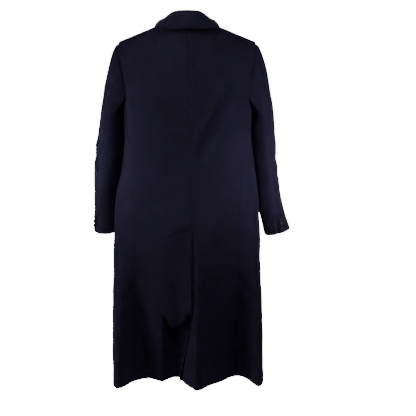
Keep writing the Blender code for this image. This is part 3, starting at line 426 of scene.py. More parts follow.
def points(*parts):
    """Three arrays or numbers as one array of points."""
    return np.stack(np.broadcast_arrays(*(np.asarray(p, float) for p in parts)), axis=-1)


def bell(distance, width):
    return np.exp(-(distance / width) ** 2)


# The body as one surface, by the angle round it and the drop

def body_level(column, drop):
    return read(BODY_LEVELS, "drop", column, drop)


def flute_reach(face, across, drop):
    """How far the flutes on one face move the cloth out from the plain body."""
    total = 0
    for flute in FLUTES:
        if flute.face == face:
            share = (drop - flute.start) / (flute.full - flute.start)
            middle = flute.start_across + (flute.across - flute.start_across) * share
            total = total + flute.out * smooth(share) * bell(across - middle, flute.width)
    return total


def torso(angle, drop):
    """The cloth's outer face."""
    angle, drop = np.broadcast_arrays(np.asarray(angle, float), np.asarray(drop, float))
    sine, cosine = np.sin(angle), np.cos(angle)
    square = body_level("square", drop)
    scale = (np.abs(sine) ** square + np.abs(cosine) ** square) ** (-1 / square)
    across = sine * scale * np.where(sine >= 0, body_level("left", drop), body_level("right", drop))
    fade = smooth(np.abs(cosine) / FLUTE_FADE)
    back_reach = body_level("back", drop) * cosine * scale + flute_reach("back", across, drop) * fade
    front_reach = body_level("front", drop) * cosine * scale - flute_reach("front", across, drop) * fade
    return points(across, np.where(cosine >= 0, back_reach, front_reach), -drop)


def torso_out(angle, drop):
    """The way out of the body's cloth."""
    around = torso(angle + NUDGE, drop) - torso(angle - NUDGE, drop)
    downward = torso(angle, drop + NUDGE) - torso(angle, drop - NUDGE)
    return unit(np.cross(around, downward))


def sunk_torso(angle, drop, sink):
    """The cloth's outer face where it lies under another layer, this far in."""
    return torso(angle, drop) - torso_out(angle, drop) * np.asarray(sink)[..., None]


def angle_at(across, drop, side, face):
    """The angle on one face of the body at this distance across from the middle towards a side."""
    side_widths = {LEFT: body_level("left", drop), RIGHT: body_level("right", drop)}
    width = np.where(np.asarray(across) >= 0, side_widths[side], side_widths[-side])
    square = body_level("square", drop)
    share = np.clip(np.abs(across) / width, 0, 0.9999) ** square
    turn = np.sign(across) * np.arctan((share / (1 - share)) ** (1 / square))
    return side * (turn if face == "back" else math.pi - turn)


# Seam lines of the body: the shoulder seam's ends, the nape, the share of a back's width that its neckline
# takes, how the cloth runs over the shoulder blades, and how it draws in at the shoulder's tip

SHOULDER_NECK = np.array((NECK_WIDTH / 2, 0.004, -0.002))
SHOULDER_TIP = np.array((SHOULDER_WIDTH / 2, -0.004, -0.0560))
SHOULDER_SLOPE = (SHOULDER_NECK[2] - SHOULDER_TIP[2]) / (SHOULDER_TIP[0] - SHOULDER_NECK[0])
NAPE_BACK = 0.066
NECK_SHARE, NECK_TURN = 0.42, 0.06
BLADE_BACK, BLADE_TURN, BLADE_DROP, BLADE_RISE = 0.091, 0.28, 0.065, 0.011
TIP_DRAW = 0.004
TIP_FROM = 0.75
BACK_ARRIVAL = 0.080

# How the front's cloth leaves the shoulder seam: forwards, and less so beside the armhole, down, and less so
# by the roll, and inwards beside both, and the shares of the panel's width that these take
FRONT_REACH = 0.075
FORWARDS, FORWARDS_LESS = 0.62, 0.06
DOWNWARDS, DOWNWARDS_LESS = 0.78, 0.02
INWARDS_BY_ARMHOLE, INWARDS_BY_ROLL = 0.10, 0.21
BY_ARMHOLE = 0.25
ROLL_FROM, BY_ROLL = 0.55, 0.45

# The armhole: its middle, how far its cloth faces outwards, and the power that shapes the dip under the arm
ARMHOLE_MIDDLE = np.array((0, 0, -0.165))
ARMHOLE_FACING = 0.6
DIP_POWER = 1.2


def shoulder_up(side):
    """The way out of the cloth at the shoulder seam."""
    along = SHOULDER_TIP - SHOULDER_NECK
    return unit(np.array((-along[2] * side, 0, along[0])))


def side_of(point, side):
    return point * np.array((side, 1, 1))


def centre_back(drop):
    """Angle of the centre back seam, which hangs a little to the wearer's right below the blades."""
    return angle_at(-SEAM_SHIFT * smooth((drop - SEAM_SHIFT_FROM) / SEAM_SHIFT_RUN), drop, LEFT, "back")


def vent_edge(drop):
    """Angle of the left back's edge, which swings aside below the vent's fold."""
    swing = np.clip((drop - SWING_DROP) / (BACK_LENGTH - SWING_DROP), 0, 1)
    return centre_back(drop) * (1 - swing) + angle_at(VENT_SPREAD, drop, LEFT, "back") * swing


def drop_at(share):
    """Drop of a row below the chest, whose shares run from CHEST_SHARE to 1."""
    return CHEST_DROP + (BACK_LENGTH - CHEST_DROP) * (share - CHEST_SHARE) / (1 - CHEST_SHARE)


def share_of(drop):
    return CHEST_SHARE + (1 - CHEST_SHARE) * (drop - CHEST_DROP) / (BACK_LENGTH - CHEST_DROP)


def upper_part(share, top, handle, chest, arrive, arrival):
    """Columns from the shoulder or neckline down to the chest, where they join the body smoothly."""
    return bezier(top, handle, chest - unit(arrive) * arrival, chest, share / CHEST_SHARE)


def joined(share, upper, lower):
    return np.where((share < CHEST_SHARE)[..., None], upper, lower)


def back(side, across, down):
    """Outer face of one back panel: across is 0 at the centre back and 1 at the side-back seam."""
    across, down = np.broadcast_arrays(np.asarray(across, float), np.asarray(down, float))

    def below(share):
        drop = drop_at(share)
        start = vent_edge(drop) if side == LEFT else centre_back(drop)
        seam = body_level("side_back", drop)
        end = np.where(across < 0, angle_at(seam, drop, -side, "back"), angle_at(seam, drop, side, "back"))
        angle = start + (end - start) * np.abs(across)
        if side == LEFT:
            return torso(angle, drop)
        near = smooth((LAP_SHARE - across) / LAP_SHARE) * smooth((drop - VENT_TOP + LAP_RISE) / LAP_RISE)
        looser = LOOSE_LAP * smooth((drop - LOOSE_DROP) / LOOSE_RUN)
        lying = sunk_torso(angle, drop, (CLOTH + LAP_GAP + looser) * near)
        tucked = smooth((lying[..., 0] + TUCK_FROM) / TUCK_WIDTH) * smooth((drop - SWING_DROP) / TUCK_RUN)
        return lying - points(0, UNDERLAP_TUCK * tucked, 0)

    neck_part = np.clip(across / NECK_SHARE, -1, 1)
    neck_across = (neck_part + np.sin(neck_part * math.pi / 2)) / 2
    neck = points(SHOULDER_NECK[0] * neck_across,
                  SHOULDER_NECK[1] + (NAPE_BACK - SHOULDER_NECK[1]) * np.sqrt(1 - neck_across ** 2),
                  SHOULDER_NECK[2] * np.abs(neck_across))
    out = np.clip((across - NECK_SHARE) / (1 - NECK_SHARE), 0, None)[..., None]
    shoulder = SHOULDER_NECK + (SHOULDER_TIP - SHOULDER_NECK) * out
    top = np.where((across < NECK_SHARE)[..., None], neck, shoulder)
    beyond = np.maximum(top[..., 0] - SHOULDER_NECK[0], 0)
    tip_in = TIP_DRAW * smooth((across - TIP_FROM) / (1 - TIP_FROM))
    handle = points(top[..., 0] - tip_in, BLADE_BACK - BLADE_TURN * top[..., 0],
                    -BLADE_DROP + BLADE_RISE * neck_across - SHOULDER_SLOPE * beyond)
    chest_share = np.full_like(down, CHEST_SHARE)
    chest = below(chest_share)
    arrive = below(chest_share + 0.01) - chest
    upper = upper_part(down, side_of(top, side), side_of(handle, side), chest, arrive, BACK_ARRIVAL)
    return joined(down, upper, below(np.maximum(down, CHEST_SHARE)))


def side_panel(side, across, down):
    """Outer face of the panel under the arm: across is 0 at the side-back seam, 1 at the side-front."""
    across, down = np.broadcast_arrays(np.asarray(across, float), np.asarray(down, float))
    dip = CHEST_DROP + ARMHOLE_DIP * np.sin(math.pi * np.clip(across, 0, 1)) ** DIP_POWER
    drop = dip + (BACK_LENGTH - dip) * down
    start = angle_at(body_level("side_back", drop), drop, side, "back")
    end = angle_at(body_level("side_front", drop), drop, side, "front")
    return torso(start + (end - start) * across, drop)


def front_edge(drop):
    """How far the front's edge lies across, along the roll line and then down the lap."""
    rolled = SHOULDER_NECK[0] - (SHOULDER_NECK[0] + FRONT_LAP) * (drop / BREAK_DROP)
    return np.maximum(rolled, -FRONT_LAP)


def front(side, across, down):
    """Outer face of one front: across is 0 at the side-front seam and 1 at the roll line or edge."""
    across, down = np.broadcast_arrays(np.asarray(across, float), np.asarray(down, float))

    def below(share):
        drop = drop_at(share)
        start = angle_at(body_level("side_front", drop), drop, side, "front")
        end = angle_at(front_edge(drop), drop, side, "front")
        angle = start + (end - start) * across
        if side == LEFT:
            return torso(angle, drop)
        away = side * torso(angle, drop)[..., 0]
        near = smooth((LAP_REACH - front_edge(drop) - away) / LAP_EASE)
        return sunk_torso(angle, drop, (CLOTH + LAP_GAP) * near)

    top = side_of(SHOULDER_TIP + (SHOULDER_NECK - SHOULDER_TIP) * across[..., None], side)
    edge = smooth((BY_ARMHOLE - across) / BY_ARMHOLE)
    roll = smooth((across - ROLL_FROM) / BY_ROLL)
    leave = points(side * (-INWARDS_BY_ARMHOLE * edge - INWARDS_BY_ROLL * roll),
                   -FORWARDS + FORWARDS_LESS * edge, -DOWNWARDS + DOWNWARDS_LESS * roll)
    chest_share = np.full_like(down, CHEST_SHARE)
    chest = below(chest_share)
    arrive = below(chest_share + 0.01) - chest
    upper = upper_part(down, top, top + unit(leave) * FRONT_REACH, chest, arrive, FRONT_REACH)
    return joined(down, upper, below(np.maximum(down, CHEST_SHARE)))


def facing(surface, across, down, outward):
    """Unit normals of a surface, all on the side that outward gives."""
    one = surface(across + NUDGE, down) - surface(across - NUDGE, down)
    two = surface(across, down + NUDGE) - surface(across, down - NUDGE)
    normal = unit(np.cross(one, two))
    return normal * np.sign(np.sum(normal * outward(surface(across, down))))


def from_axis(at):
    """Outwards from the body's own axis."""
    return at * np.array((1, 1, 0)) + np.array((0, 0, 0.02))


def on_front(side, across, drop):
    """Where on a front lies the point seen from before at this place: its two shares of the panel."""
    across, drop = np.broadcast_arrays(np.asarray(across, float), np.asarray(drop, float))
    share, down = np.full(across.shape, 0.7), np.clip(drop, 0.02, 0.6) * 0.9

    def seen(a, b):
        at = front(side, a, b)
        return np.stack((at[..., 0] * side - across, -at[..., 2] - drop), axis=-1)

    for _ in range(NEARER_STEPS):
        miss = seen(share, down)
        by_share = (seen(share + NUDGE, down) - miss) / NUDGE
        by_down = (seen(share, down + NUDGE) - miss) / NUDGE
        scale = by_share[..., 0] * by_down[..., 1] - by_share[..., 1] * by_down[..., 0]
        move = (miss[..., 0] * by_down[..., 1] - miss[..., 1] * by_down[..., 0]) / scale
        fall = (by_share[..., 0] * miss[..., 1] - by_share[..., 1] * miss[..., 0]) / scale
        share = np.clip(share - np.clip(move, -0.2, 0.2), -0.4, 1.5)
        down = np.clip(down - np.clip(fall, -0.1, 0.1), 0.001, 0.95)
    return share, down


def above_front(side, across, drop, lift):
    """The point that lies this far off the front's outer face."""
    share, down = on_front(side, across, drop)
    normal = facing(lambda a, b: front(side, a, b), share, down, from_axis)
    return front(side, share, down) + normal * np.asarray(lift, float)[..., None]


# Sleeves

def armhole(side, turn):
    """The armhole's seam, from the shoulder point by the back, the underarm and the front, 0 to 1."""
    turn = np.asarray(turn, float)
    behind = back(side, np.ones_like(turn), CHEST_SHARE * np.clip(turn / BACK_JUNCTION, 0, 1))
    under = side_panel(side, np.clip((turn - BACK_JUNCTION) / (FRONT_JUNCTION - BACK_JUNCTION), 0, 1), 0)
    rising = np.clip((1 - turn) / (1 - FRONT_JUNCTION), 0, 1)
    before = front(side, np.zeros_like(turn), CHEST_SHARE * rising)
    return np.where((turn < BACK_JUNCTION)[..., None], behind,
                    np.where((turn < FRONT_JUNCTION)[..., None], under, before))


def armhole_out(side, at):
    """The way out of the cloth at the armhole, shared by the body and the sleeve."""
    around = unit((at - ARMHOLE_MIDDLE) * np.array((0, 1, 1)))
    return unit(around + np.array((ARMHOLE_FACING * side, 0, 0)))


def sleeve_turn(side, turn, drop):
    """Angle round the sleeve of a column that starts at this place on the armhole."""
    rows = SLEEVE_LEVELS[side]
    back_seam, front_seam = (read(rows, "drop", c, drop) for c in ("back_seam", "front_seam"))
    over = np.where(turn <= BACK_SEAM_AT, BACK_SEAM_AT - turn, BACK_SEAM_AT + 1 - turn)
    over = over / (BACK_SEAM_AT + 1 - FRONT_SEAM_AT)
    under = (turn - BACK_SEAM_AT) / (FRONT_SEAM_AT - BACK_SEAM_AT)
    degrees = np.where((turn > BACK_SEAM_AT) & (turn < FRONT_SEAM_AT),
                       back_seam + under * (front_seam - back_seam),
                       back_seam - over * (back_seam + 360 - front_seam))
    return np.radians(degrees)


def sleeve_sides(side, drop):
    """How far out the sleeve's inner side, beside the body, and its outer side lie."""
    rows = SLEEVE_LEVELS[side]
    along = read(rows, "drop", "back", drop)
    depth = np.where(along >= 0, body_level("back", drop), body_level("front", drop))
    square = body_level("square", drop)
    beside = body_level(SIDE_NAMES[side], drop) * (1 - (np.abs(along) / depth) ** square) ** (1 / square)
    return beside + read(rows, "drop", "clear", drop), read(rows, "drop", "outer", drop)


def sleeve_middle(side, drop):
    rows = SLEEVE_LEVELS[side]
    inner, outer = sleeve_sides(side, drop)
    forward = np.tan(np.radians(read(rows, "drop", "lean", drop))) * (outer - inner) / 2
    return points(side * (inner + outer) / 2, read(rows, "drop", "back", drop) - forward, -drop)


def sleeve_tube(side, angle, drop):
    rows = SLEEVE_LEVELS[side]
    middle = sleeve_middle(side, drop)
    way = unit(sleeve_middle(side, drop + 0.01) - sleeve_middle(side, drop - 0.01))
    lean = np.radians(read(rows, "drop", "lean", drop))
    outer = points(side * np.cos(lean), -np.sin(lean), 0)
    outer = unit(outer - way * np.sum(outer * way, axis=-1, keepdims=True))
    behind = np.cross(way, outer) * side
    behind = behind * np.sign(behind[..., 1:2])
    inner_side, outer_side = sleeve_sides(side, drop)
    half_width = ((outer_side - inner_side) / 2 * np.cos(angle))[..., None]
    half_depth = (read(rows, "drop", "half_depth", drop) * np.sin(angle))[..., None]
    return middle + outer * half_width + behind * half_depth


def sleeve(side, turn, down):
    """Outer face of a sleeve: turn is round from the shoulder point, down is 0 at the armhole."""
    turn, down = np.broadcast_arrays(np.asarray(turn, float), np.asarray(down, float))
    rows = SLEEVE_LEVELS[side]
    first, last = rows[0].drop, rows[-1].drop

    def below(share):
        drop = first + (last - first) * (share - CAP_SHARE) / (1 - CAP_SHARE)
        return sleeve_tube(side, sleeve_turn(side, turn, drop), drop)

    start = armhole(side, np.clip(turn, 0, 1))
    leave = points(side * read(HEAD_HANDLES, "at", "out", turn), read(HEAD_HANDLES, "at", "back", turn),
                   -read(HEAD_HANDLES, "at", "down", turn))
    cap = np.full_like(down, CAP_SHARE)
    ring = below(cap)
    arrive = unit(below(cap + 0.01) - ring)
    head = bezier(start, start + unit(leave) * read(HEAD_HANDLES, "at", "reach", turn)[..., None],
                  ring - arrive * read(HEAD_HANDLES, "at", "arrival", turn)[..., None], ring,
                  down / CAP_SHARE)
    return np.where((down < CAP_SHARE)[..., None], head, below(np.maximum(down, CAP_SHARE)))


# Fine grids of points and the distances along them

def close_shares(length, step, start=False, end=False):
    """Shares of a run in even steps, with close ones beside an end that is sewn."""
    first = [0.0, *CLOSE] if start else [0.0]
    last = [length, *(length - c for c in CLOSE)][::-1] if end else [length]
    count = max(2, round((last[0] - first[-1]) / step) + 1)
    even = np.linspace(first[-1], last[0], count)
    return np.array(first[:-1] + list(even) + last[1:]) / length


def run(grid, axis):
    """Distance along the cloth from the first row or column."""
    steps = np.linalg.norm(np.diff(grid, axis=axis), axis=-1)
    first = np.zeros_like(np.take(steps, [0], axis=axis))
    return np.concatenate((first, np.cumsum(steps, axis=axis)), axis=axis)


def distances(grid):
    """How far each point is from each edge of its panel."""
    across, down = run(grid, 0), run(grid, 1)
    return {"start": across, "end": across[-1:] - across, "top": down, "bottom": down[:, -1:] - down}


def grid_normals(grid, outward):
    normal = unit(np.cross(np.gradient(grid, axis=0), np.gradient(grid, axis=1)))
    return normal * np.sign(np.sum(normal * outward(grid)))


def steered(way, distance, shared):
    """The way out, turned towards a shared one beside a seam."""
    near = bell(distance, STEER)[..., None]
    return unit(way * (1 - near) + shared * near)


# Creases and slow waves

def crease_height(creases, across, drop):
    total = np.zeros(np.shape(across))
    for crease in creases:
        start, end = np.array(crease.start), np.array(crease.end)
        line = end - start
        length = np.linalg.norm(line)
        beside, below = across - start[0], drop - start[1]
        along = (beside * line[0] + below * line[1]) / length ** 2
        inside = np.clip(along, 0, 1)
        off = (beside * line[1] - below * line[0]) / length - crease.bow * 4 * inside * (1 - inside)
        total += crease.out * np.sin(math.pi * inside) ** CREASE_BLUNT * bell(off, crease.width)
    return total


def wave_height(at):
    total = 0
    for wave in WAVES:
        along = unit(np.array(wave.along))
        total = total + wave.height * np.sin(at @ along * 2 * math.pi / wave.length + wave.shift)
    return total


def body_folds(at, way):
    """Creases on the faces of the body that look that way, and slow waves."""
    across, drop = at[..., 0], -at[..., 2]
    total = wave_height(at)
    for face, sign in (("back", 1), ("front", -1)):
        facing_it = smooth((sign * way[..., 1] - FACE_FROM) / FACE_TURN)
        total += crease_height(BODY_CREASES[face], across, drop) * facing_it
    return total


def sleeve_folds(side, at):
    drop = -at[..., 2]
    middle = sleeve_middle(side, np.clip(drop, SLEEVE_TOP_DROP, None))
    degrees = np.degrees(np.arctan2(at[..., 1] - middle[..., 1], (at[..., 0] - middle[..., 0]) * side))
    scale = math.radians(CREASE_RADIUS)
    round_by = [c._replace(start=(c.start[0] * scale, c.start[1]), end=(c.end[0] * scale, c.end[1]))
                for c in SLEEVE_CREASES[side]]
    total = wave_height(at)
    for turn in (0, 360):
        total += crease_height(round_by, (degrees + turn) * scale, drop)
    return total


# Closed walls from grids of points

def cloth_wall(name, outer, way, thickness, free, kept, finish):
    """A wall under a grid of points. Free marks the points on edges that round over."""
    columns, rows = outer.shape[:2]
    kept = np.ones((columns - 1, rows - 1), bool) if kept is None else kept
    count = columns * rows
    inner = outer - way * thickness
    centre, half = ((outer + inner) / 2).reshape(-1, 3), ((outer - inner) / 2).reshape(-1, 3)
    corners = [outer.reshape(-1, 3), inner.reshape(-1, 3)]
    faces, border = [], {}
    for i, j in zip(*np.nonzero(kept)):
        first = int(i) * rows + int(j)
        cell = (first, first + rows, first + rows + 1, first + 1)
        faces.append(cell)
        faces.append(tuple(c + count for c in reversed(cell)))
        for a, b in zip(cell, cell[1:] + cell[:1]):
            if border.pop((b, a), None) is None:
                border[(a, b)] = cell
    marked, flat = free.reshape(-1), outer.reshape(-1, 3)
    sideways = {}
    for (a, b), cell in border.items():
        if marked[a] and marked[b]:
            out = np.cross(flat[b] - flat[a], half[a])
            out = unit(out * np.sign(np.dot(out, flat[a] - flat[list(cell)].mean(axis=0))))
            for c in (a, b):
                sideways[c] = sideways.get(c, 0) + out
    chains, extra = {}, []
    for c in sorted({c for edge in border for c in edge}):
        rounding = np.zeros(3)
        if c in sideways:
            rounding = unit(sideways[c]) * np.linalg.norm(half[c])
        chain = [c]
        for k in range(1, ROUND_STEPS):
            turn = math.pi * k / ROUND_STEPS
            chain.append(2 * count + len(extra))
            extra.append(centre[c] + half[c] * math.cos(turn) + rounding * math.sin(turn))
        chains[c] = chain + [c + count]
    for a, b in border:
        for k in range(ROUND_STEPS):
            faces.append((chains[b][k], chains[a][k], chains[a][k + 1], chains[b][k + 1]))
    corners = np.concatenate(corners + [np.array(extra)])
    return new_piece(name, corners, faces, finish)


def new_piece(name, corners, faces, finish):
    """A smooth mesh of quads, outside out, with only the corners that its faces use."""
    faces = np.array(faces)
    used, places = np.unique(faces, return_inverse=True)
    corners, faces = np.asarray(corners)[used], places.reshape(faces.shape)
    a, b, c, d = (corners[faces[:, k]] for k in range(4))
    volume = np.sum(a * np.cross(b, c)) + np.sum(a * np.cross(c, d))
    if volume < 0:
        faces = faces[:, ::-1]
    mesh = bpy.data.meshes.new(name)
    mesh.from_pydata(corners.tolist(), [], faces.tolist())
    mesh.update()
    mesh.shade_smooth()
    mesh.set_sharp_from_angle(angle=math.radians(SHARP_ANGLE))
    piece = bpy.data.objects.new(name, mesh)
    bpy.context.scene.collection.objects.link(piece)
    mesh.materials.append(finish)
    return piece


def cut_size(grid, kept=None):
    """Width, length and area of a panel laid flat."""
    diagonals = np.cross(grid[1:, 1:] - grid[:-1, :-1], grid[:-1, 1:] - grid[1:, :-1])
    one = np.linalg.norm(diagonals, axis=-1) / 2
    if kept is not None:
        one = one * kept
    return float(run(grid, 0)[-1].max()), float(run(grid, 1)[:, -1].max()), float(one.sum())


def settle(piece, node, cut=None):
    """Puts a piece in place of its CAD node on the coat's one body."""
    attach(piece, "root")
    if node:
        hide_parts(node)
    if cut:
        width, length, area = cut
        area = min(area, width * length)
    return piece


def hang_panel(name, grid, outer, way, marked, finish, thickness=CLOTH, kept=None):
    """A panel's wall in place of its node."""
    piece = cloth_wall(f"{name}_cloth", outer, way, thickness, marked, kept, finish)
    settle(piece, name, cut_size(grid, kept))


def mesh_of(surface, across, down):
    a, d = np.meshgrid(across, down, indexing="ij")
    return surface(a, d)


def freed(shape, *edges):
    """Marks the points on the edges that round over."""
    marked = np.zeros(shape, bool)
    for edge in edges:
        marked[edge] = True
    return marked


START_EDGE, END_EDGE = (0, slice(None)), (-1, slice(None))
TOP_EDGE, BOTTOM_EDGE = (slice(None), 0), (slice(None), -1)


def sewn(grid, way, far, seams, folds, still=()):
    """The panel's outer face with its folds, its pressed seams and its turned-up hem."""
    height = folds
    for edge in still:
        height = height * (1 - bell(far[edge], STILL_WIDTH))
    for seam in seams:
        height = height - SEAM_DEPTH * bell(seam if isinstance(seam, np.ndarray) else far[seam], SEAM_WIDTH)
    height = height - HEM_DEPTH * bell(far["bottom"] - HEM_TURN, HEM_WIDTH)
    return grid + way * height[..., None]


# The panels of the body

def body_rows():
    upper = close_shares(CHEST_RUN, STEP, start=True) * CHEST_SHARE
    lower = share_of(CHEST_DROP + (BACK_LENGTH - CHEST_DROP) * close_shares(SKIRT_RUN, STEP))
    return np.concatenate((upper, lower[1:]))


def vent_groove(at):
    """The groove that the slanting row of stitches pulls into the cloth, and the lip beside it."""
    start = np.array((-SEAM_SHIFT, VENT_TOP + GROOVE_BELOW))
    line = np.array(VENT_STITCH_END) - start
    length = np.linalg.norm(line)
    beside, below = at[..., 0] - start[0], -at[..., 2] - start[1]
    along = (beside * line[0] + below * line[1]) / length
    off = (beside * line[1] - below * line[0]) / length
    before_end = smooth((length - along + GROOVE_FADE) / (2 * GROOVE_FADE))
    inside = smooth((along + GROOVE_FADE) / (2 * GROOVE_FADE)) * before_end
    return inside * (LIP_HEIGHT * bell(off + LIP_AWAY, LIP_WIDTH) - GROOVE_DEPTH * bell(off, GROOVE_WIDTH))


def vent_hollow(at):
    """The left skirt falls in beside the open vent, below the round swell over it."""
    across, drop = at[..., 0], -at[..., 2]
    top = HOLLOW_TOP + HOLLOW_DIP * np.clip(1 - ((across - HOLLOW_MIDDLE) / HOLLOW_HALF) ** 2, 0, 1)
    swing = np.clip((drop - SWING_DROP) / (BACK_LENGTH - SWING_DROP), 0, 1)
    edge = -SEAM_SHIFT * (1 - swing) + VENT_SPREAD * swing
    beside_edge = smooth((across - edge + HOLLOW_EDGE_FROM) / HOLLOW_EDGE_TURN)
    beside_swell = smooth((HOLLOW_MIDDLE + HOLLOW_HALF - across) / HOLLOW_SIDE_TURN)
    return -HOLLOW_DEPTH * beside_edge * beside_swell * smooth((drop - top) / HOLLOW_TOP_TURN)


def make_backs(wool):
    rows = body_rows()
    for side in (LEFT, RIGHT):
        inside = close_shares(BACK_ACROSS, STEP, start=True, end=True)
        mirrored = inside[::-1][:-1]
        lap = -mirrored[mirrored < UNDERLAP_SHARE] if side == RIGHT else np.array(())
        across = np.concatenate((lap, inside))
        grid = mesh_of(lambda a, d, s=side: back(s, a, d), across, rows)
        way = grid_normals(grid, from_axis)
        far = distances(grid)
        centre = np.abs(far["start"] - far["start"][len(lap)])
        off_shoulder = 1 - smooth((across - NECK_SHARE + NECK_TURN) / NECK_TURN)[:, None]
        way = steered(way, far["top"] + off_shoulder, shoulder_up(side))
        below_chest = np.where(rows <= CHEST_SHARE, 0, 1)[None, :]
        way = steered(way, far["end"] + below_chest, armhole_out(side, grid))
        seam = centre + np.where(-grid[..., 2] < VENT_TOP, 0, 1)
        way = steered(way, seam, unit(way * np.array((0, 1, 1))))
        outer = sewn(grid, way, far, (seam, "end", "top"), body_folds(grid, way), still=("top",))
        outer = outer + way * vent_hollow(grid)[..., None]
        if side == LEFT:
            outer = outer + way * vent_groove(grid)[..., None]
        kept = np.ones((len(across) - 1, len(rows) - 1), bool)
        vent_row = int(np.argmin(np.abs(rows - share_of(VENT_TOP))))
        kept[:len(lap), :vent_row] = False
        marked = freed(grid.shape[:2], BOTTOM_EDGE, (0, slice(vent_row, None)))
        if len(lap):
            marked[:len(lap) + 1, vent_row] = True
        hang_panel(f"back_{SIDE_NAMES[side]}", grid, outer, way, marked, wool, kept=kept)


def make_sides(wool):
    for side in (LEFT, RIGHT):
        across = close_shares(SIDE_ACROSS, STEP, start=True, end=True)
        down = close_shares(SIDE_RUN, STEP, start=True)
        grid = mesh_of(lambda a, d, s=side: side_panel(s, a, d), across, down)
        far = distances(grid)
        way = steered(grid_normals(grid, from_axis), far["top"], armhole_out(side, grid))
        outer = sewn(grid, way, far, ("start", "end", "top"), body_folds(grid, way), still=("top",))
        marked = freed(grid.shape[:2], BOTTOM_EDGE)
        hang_panel(f"side_{SIDE_NAMES[side]}", grid, outer, way, marked, wool)


def make_fronts(wool):
    rows = body_rows()
    for side in (LEFT, RIGHT):
        across = close_shares(FRONT_ACROSS, STEP, start=True, end=True)
        grid = mesh_of(lambda a, d, s=side: front(s, a, d), across, rows)
        far = distances(grid)
        way = steered(grid_normals(grid, from_axis), far["top"], shoulder_up(side))
        below_chest = np.where(rows <= CHEST_SHARE, 0, 1)[None, :]
        way = steered(way, far["start"] + below_chest, armhole_out(side, grid))
        folds = body_folds(grid, way) * smooth((far["end"] - FLAT_EDGE) / FLAT_FADE)
        outer = sewn(grid, way, far, ("start", "top"), folds, still=("top",))
        below_break = smooth((-grid[..., 2] - BREAK_DROP) / BREAK_FADE)
        line = EDGE_DEPTH * bell(far["end"] - EDGE_LINE, EDGE_WIDTH) * below_break
        outer = outer - way * line[..., None]
        marked = freed(grid.shape[:2], BOTTOM_EDGE, END_EDGE)
        hang_panel(f"front_{SIDE_NAMES[side]}", grid, outer, way, marked, wool)


def make_sleeves(wool):
    for side in (LEFT, RIGHT):
        length = SLEEVE_LEVELS[side][-1].drop - SLEEVE_LEVELS[side][0].drop
        head = close_shares(SLEEVE_HEAD_RUN, STEP, start=True) * CAP_SHARE
        rest = CAP_SHARE + (1 - CAP_SHARE) * close_shares(length, STEP)
        down = np.concatenate((head, rest[1:]))

        def outward(at, s=side):
            return at - sleeve_middle(s, np.clip(-at[..., 2], SLEEVE_TOP_DROP, None))

        spans = {"top_sleeve": (FRONT_SEAM_AT - 1, BACK_SEAM_AT),
                 "under_sleeve": (BACK_SEAM_AT, FRONT_SEAM_AT)}
        for part, (first, last) in spans.items():
            turns = first + (last - first) * close_shares(SLEEVE_ACROSS, STEP, start=True, end=True)
            grid = mesh_of(lambda t, d, s=side: sleeve(s, np.where(t < 0, t + 1, t), d), turns, down)
            far = distances(grid)
            way = steered(grid_normals(grid, outward), far["top"], armhole_out(side, grid))
            outer = sewn(grid, way, far, ("start", "end", "top"), sleeve_folds(side, grid), still=("top",))
            outer = outer - way * (ARMHOLE_DEPTH * bell(far["top"], ARMHOLE_WIDTH))[..., None]
            near_vent = smooth((CUFF_VENT - far["bottom"]) / CUFF_VENT_FADE)
            vent_side = far["start" if part == "under_sleeve" else "end"]
            outer = outer - way * (CUFF_SLIT * near_vent * bell(vent_side, CUFF_SLIT_WIDTH))[..., None]
            marked = freed(grid.shape[:2], BOTTOM_EDGE)
            hang_panel(f"{part}_{SIDE_NAMES[side]}", grid, outer, way, marked, wool)


# Collar and lapels

def collar_points():
    """The points of every line's section, from the centre back to the left front end."""
    lines = []
    for line, section in zip(COLLAR_LINES, COLLAR_SECTIONS):
        out, up = np.array(section).T
        if isinstance(line, CollarFlat):
            foot, edge = np.array(line.foot), np.array(line.edge)
            seen = foot + unit(edge - foot) * out[:, None]
            lines.append(above_front(LEFT, seen[:, 0], seen[:, 1], up))
        else:
            turn = math.radians(line.direction)
            way = np.array((math.sin(turn), math.cos(turn), 0))
            lines.append(np.array(line.foot) + way * out[:, None] + points(0, 0, up))
    half = np.array(lines)
    return np.concatenate((half[:0:-1] * np.array((-1, 1, 1)), half))


def collar(lines, along, down):
    """The collar's showing face: along is -1 at the right end and 1 at the left, down is 0 at the foot."""
    along, down = np.broadcast_arrays(np.asarray(along, float), np.asarray(down, float))
    keys = np.linspace(-1, 1, len(lines))
    by_line = spline(keys, np.eye(len(keys)), along)
    by_point = spline(COLLAR_KEYS, np.eye(len(COLLAR_KEYS)), down)
    return np.einsum("...i,...j,ijk->...k", by_line, by_point, lines)


def edge_stitched(grid, way, far, edges):
    """The cloth pressed in along the row of stitches beside its edges."""
    off = np.minimum.reduce([far[edge] for edge in edges])
    line = EDGE_DEPTH * bell(off - EDGE_LINE, EDGE_WIDTH)
    return grid - way * line[..., None]


def make_collar(wool):
    lines = collar_points()
    along = -1 + 2 * close_shares(*COLLAR_ALONG, start=True, end=True)
    down = close_shares(*COLLAR_DOWN, end=True)
    grid = mesh_of(lambda a, d: collar(lines, a, d), along, down)
    way = grid_normals(grid, lambda at: at + np.array((0, 0, 0.3)))
    far = distances(grid)
    outer = edge_stitched(grid, way, far, ("start", "end", "bottom"))
    marked = freed(grid.shape[:2], START_EDGE, END_EDGE, BOTTOM_EDGE)
    hang_panel("collar", grid, outer, way, marked, wool, thickness=LAPEL_CLOTH)


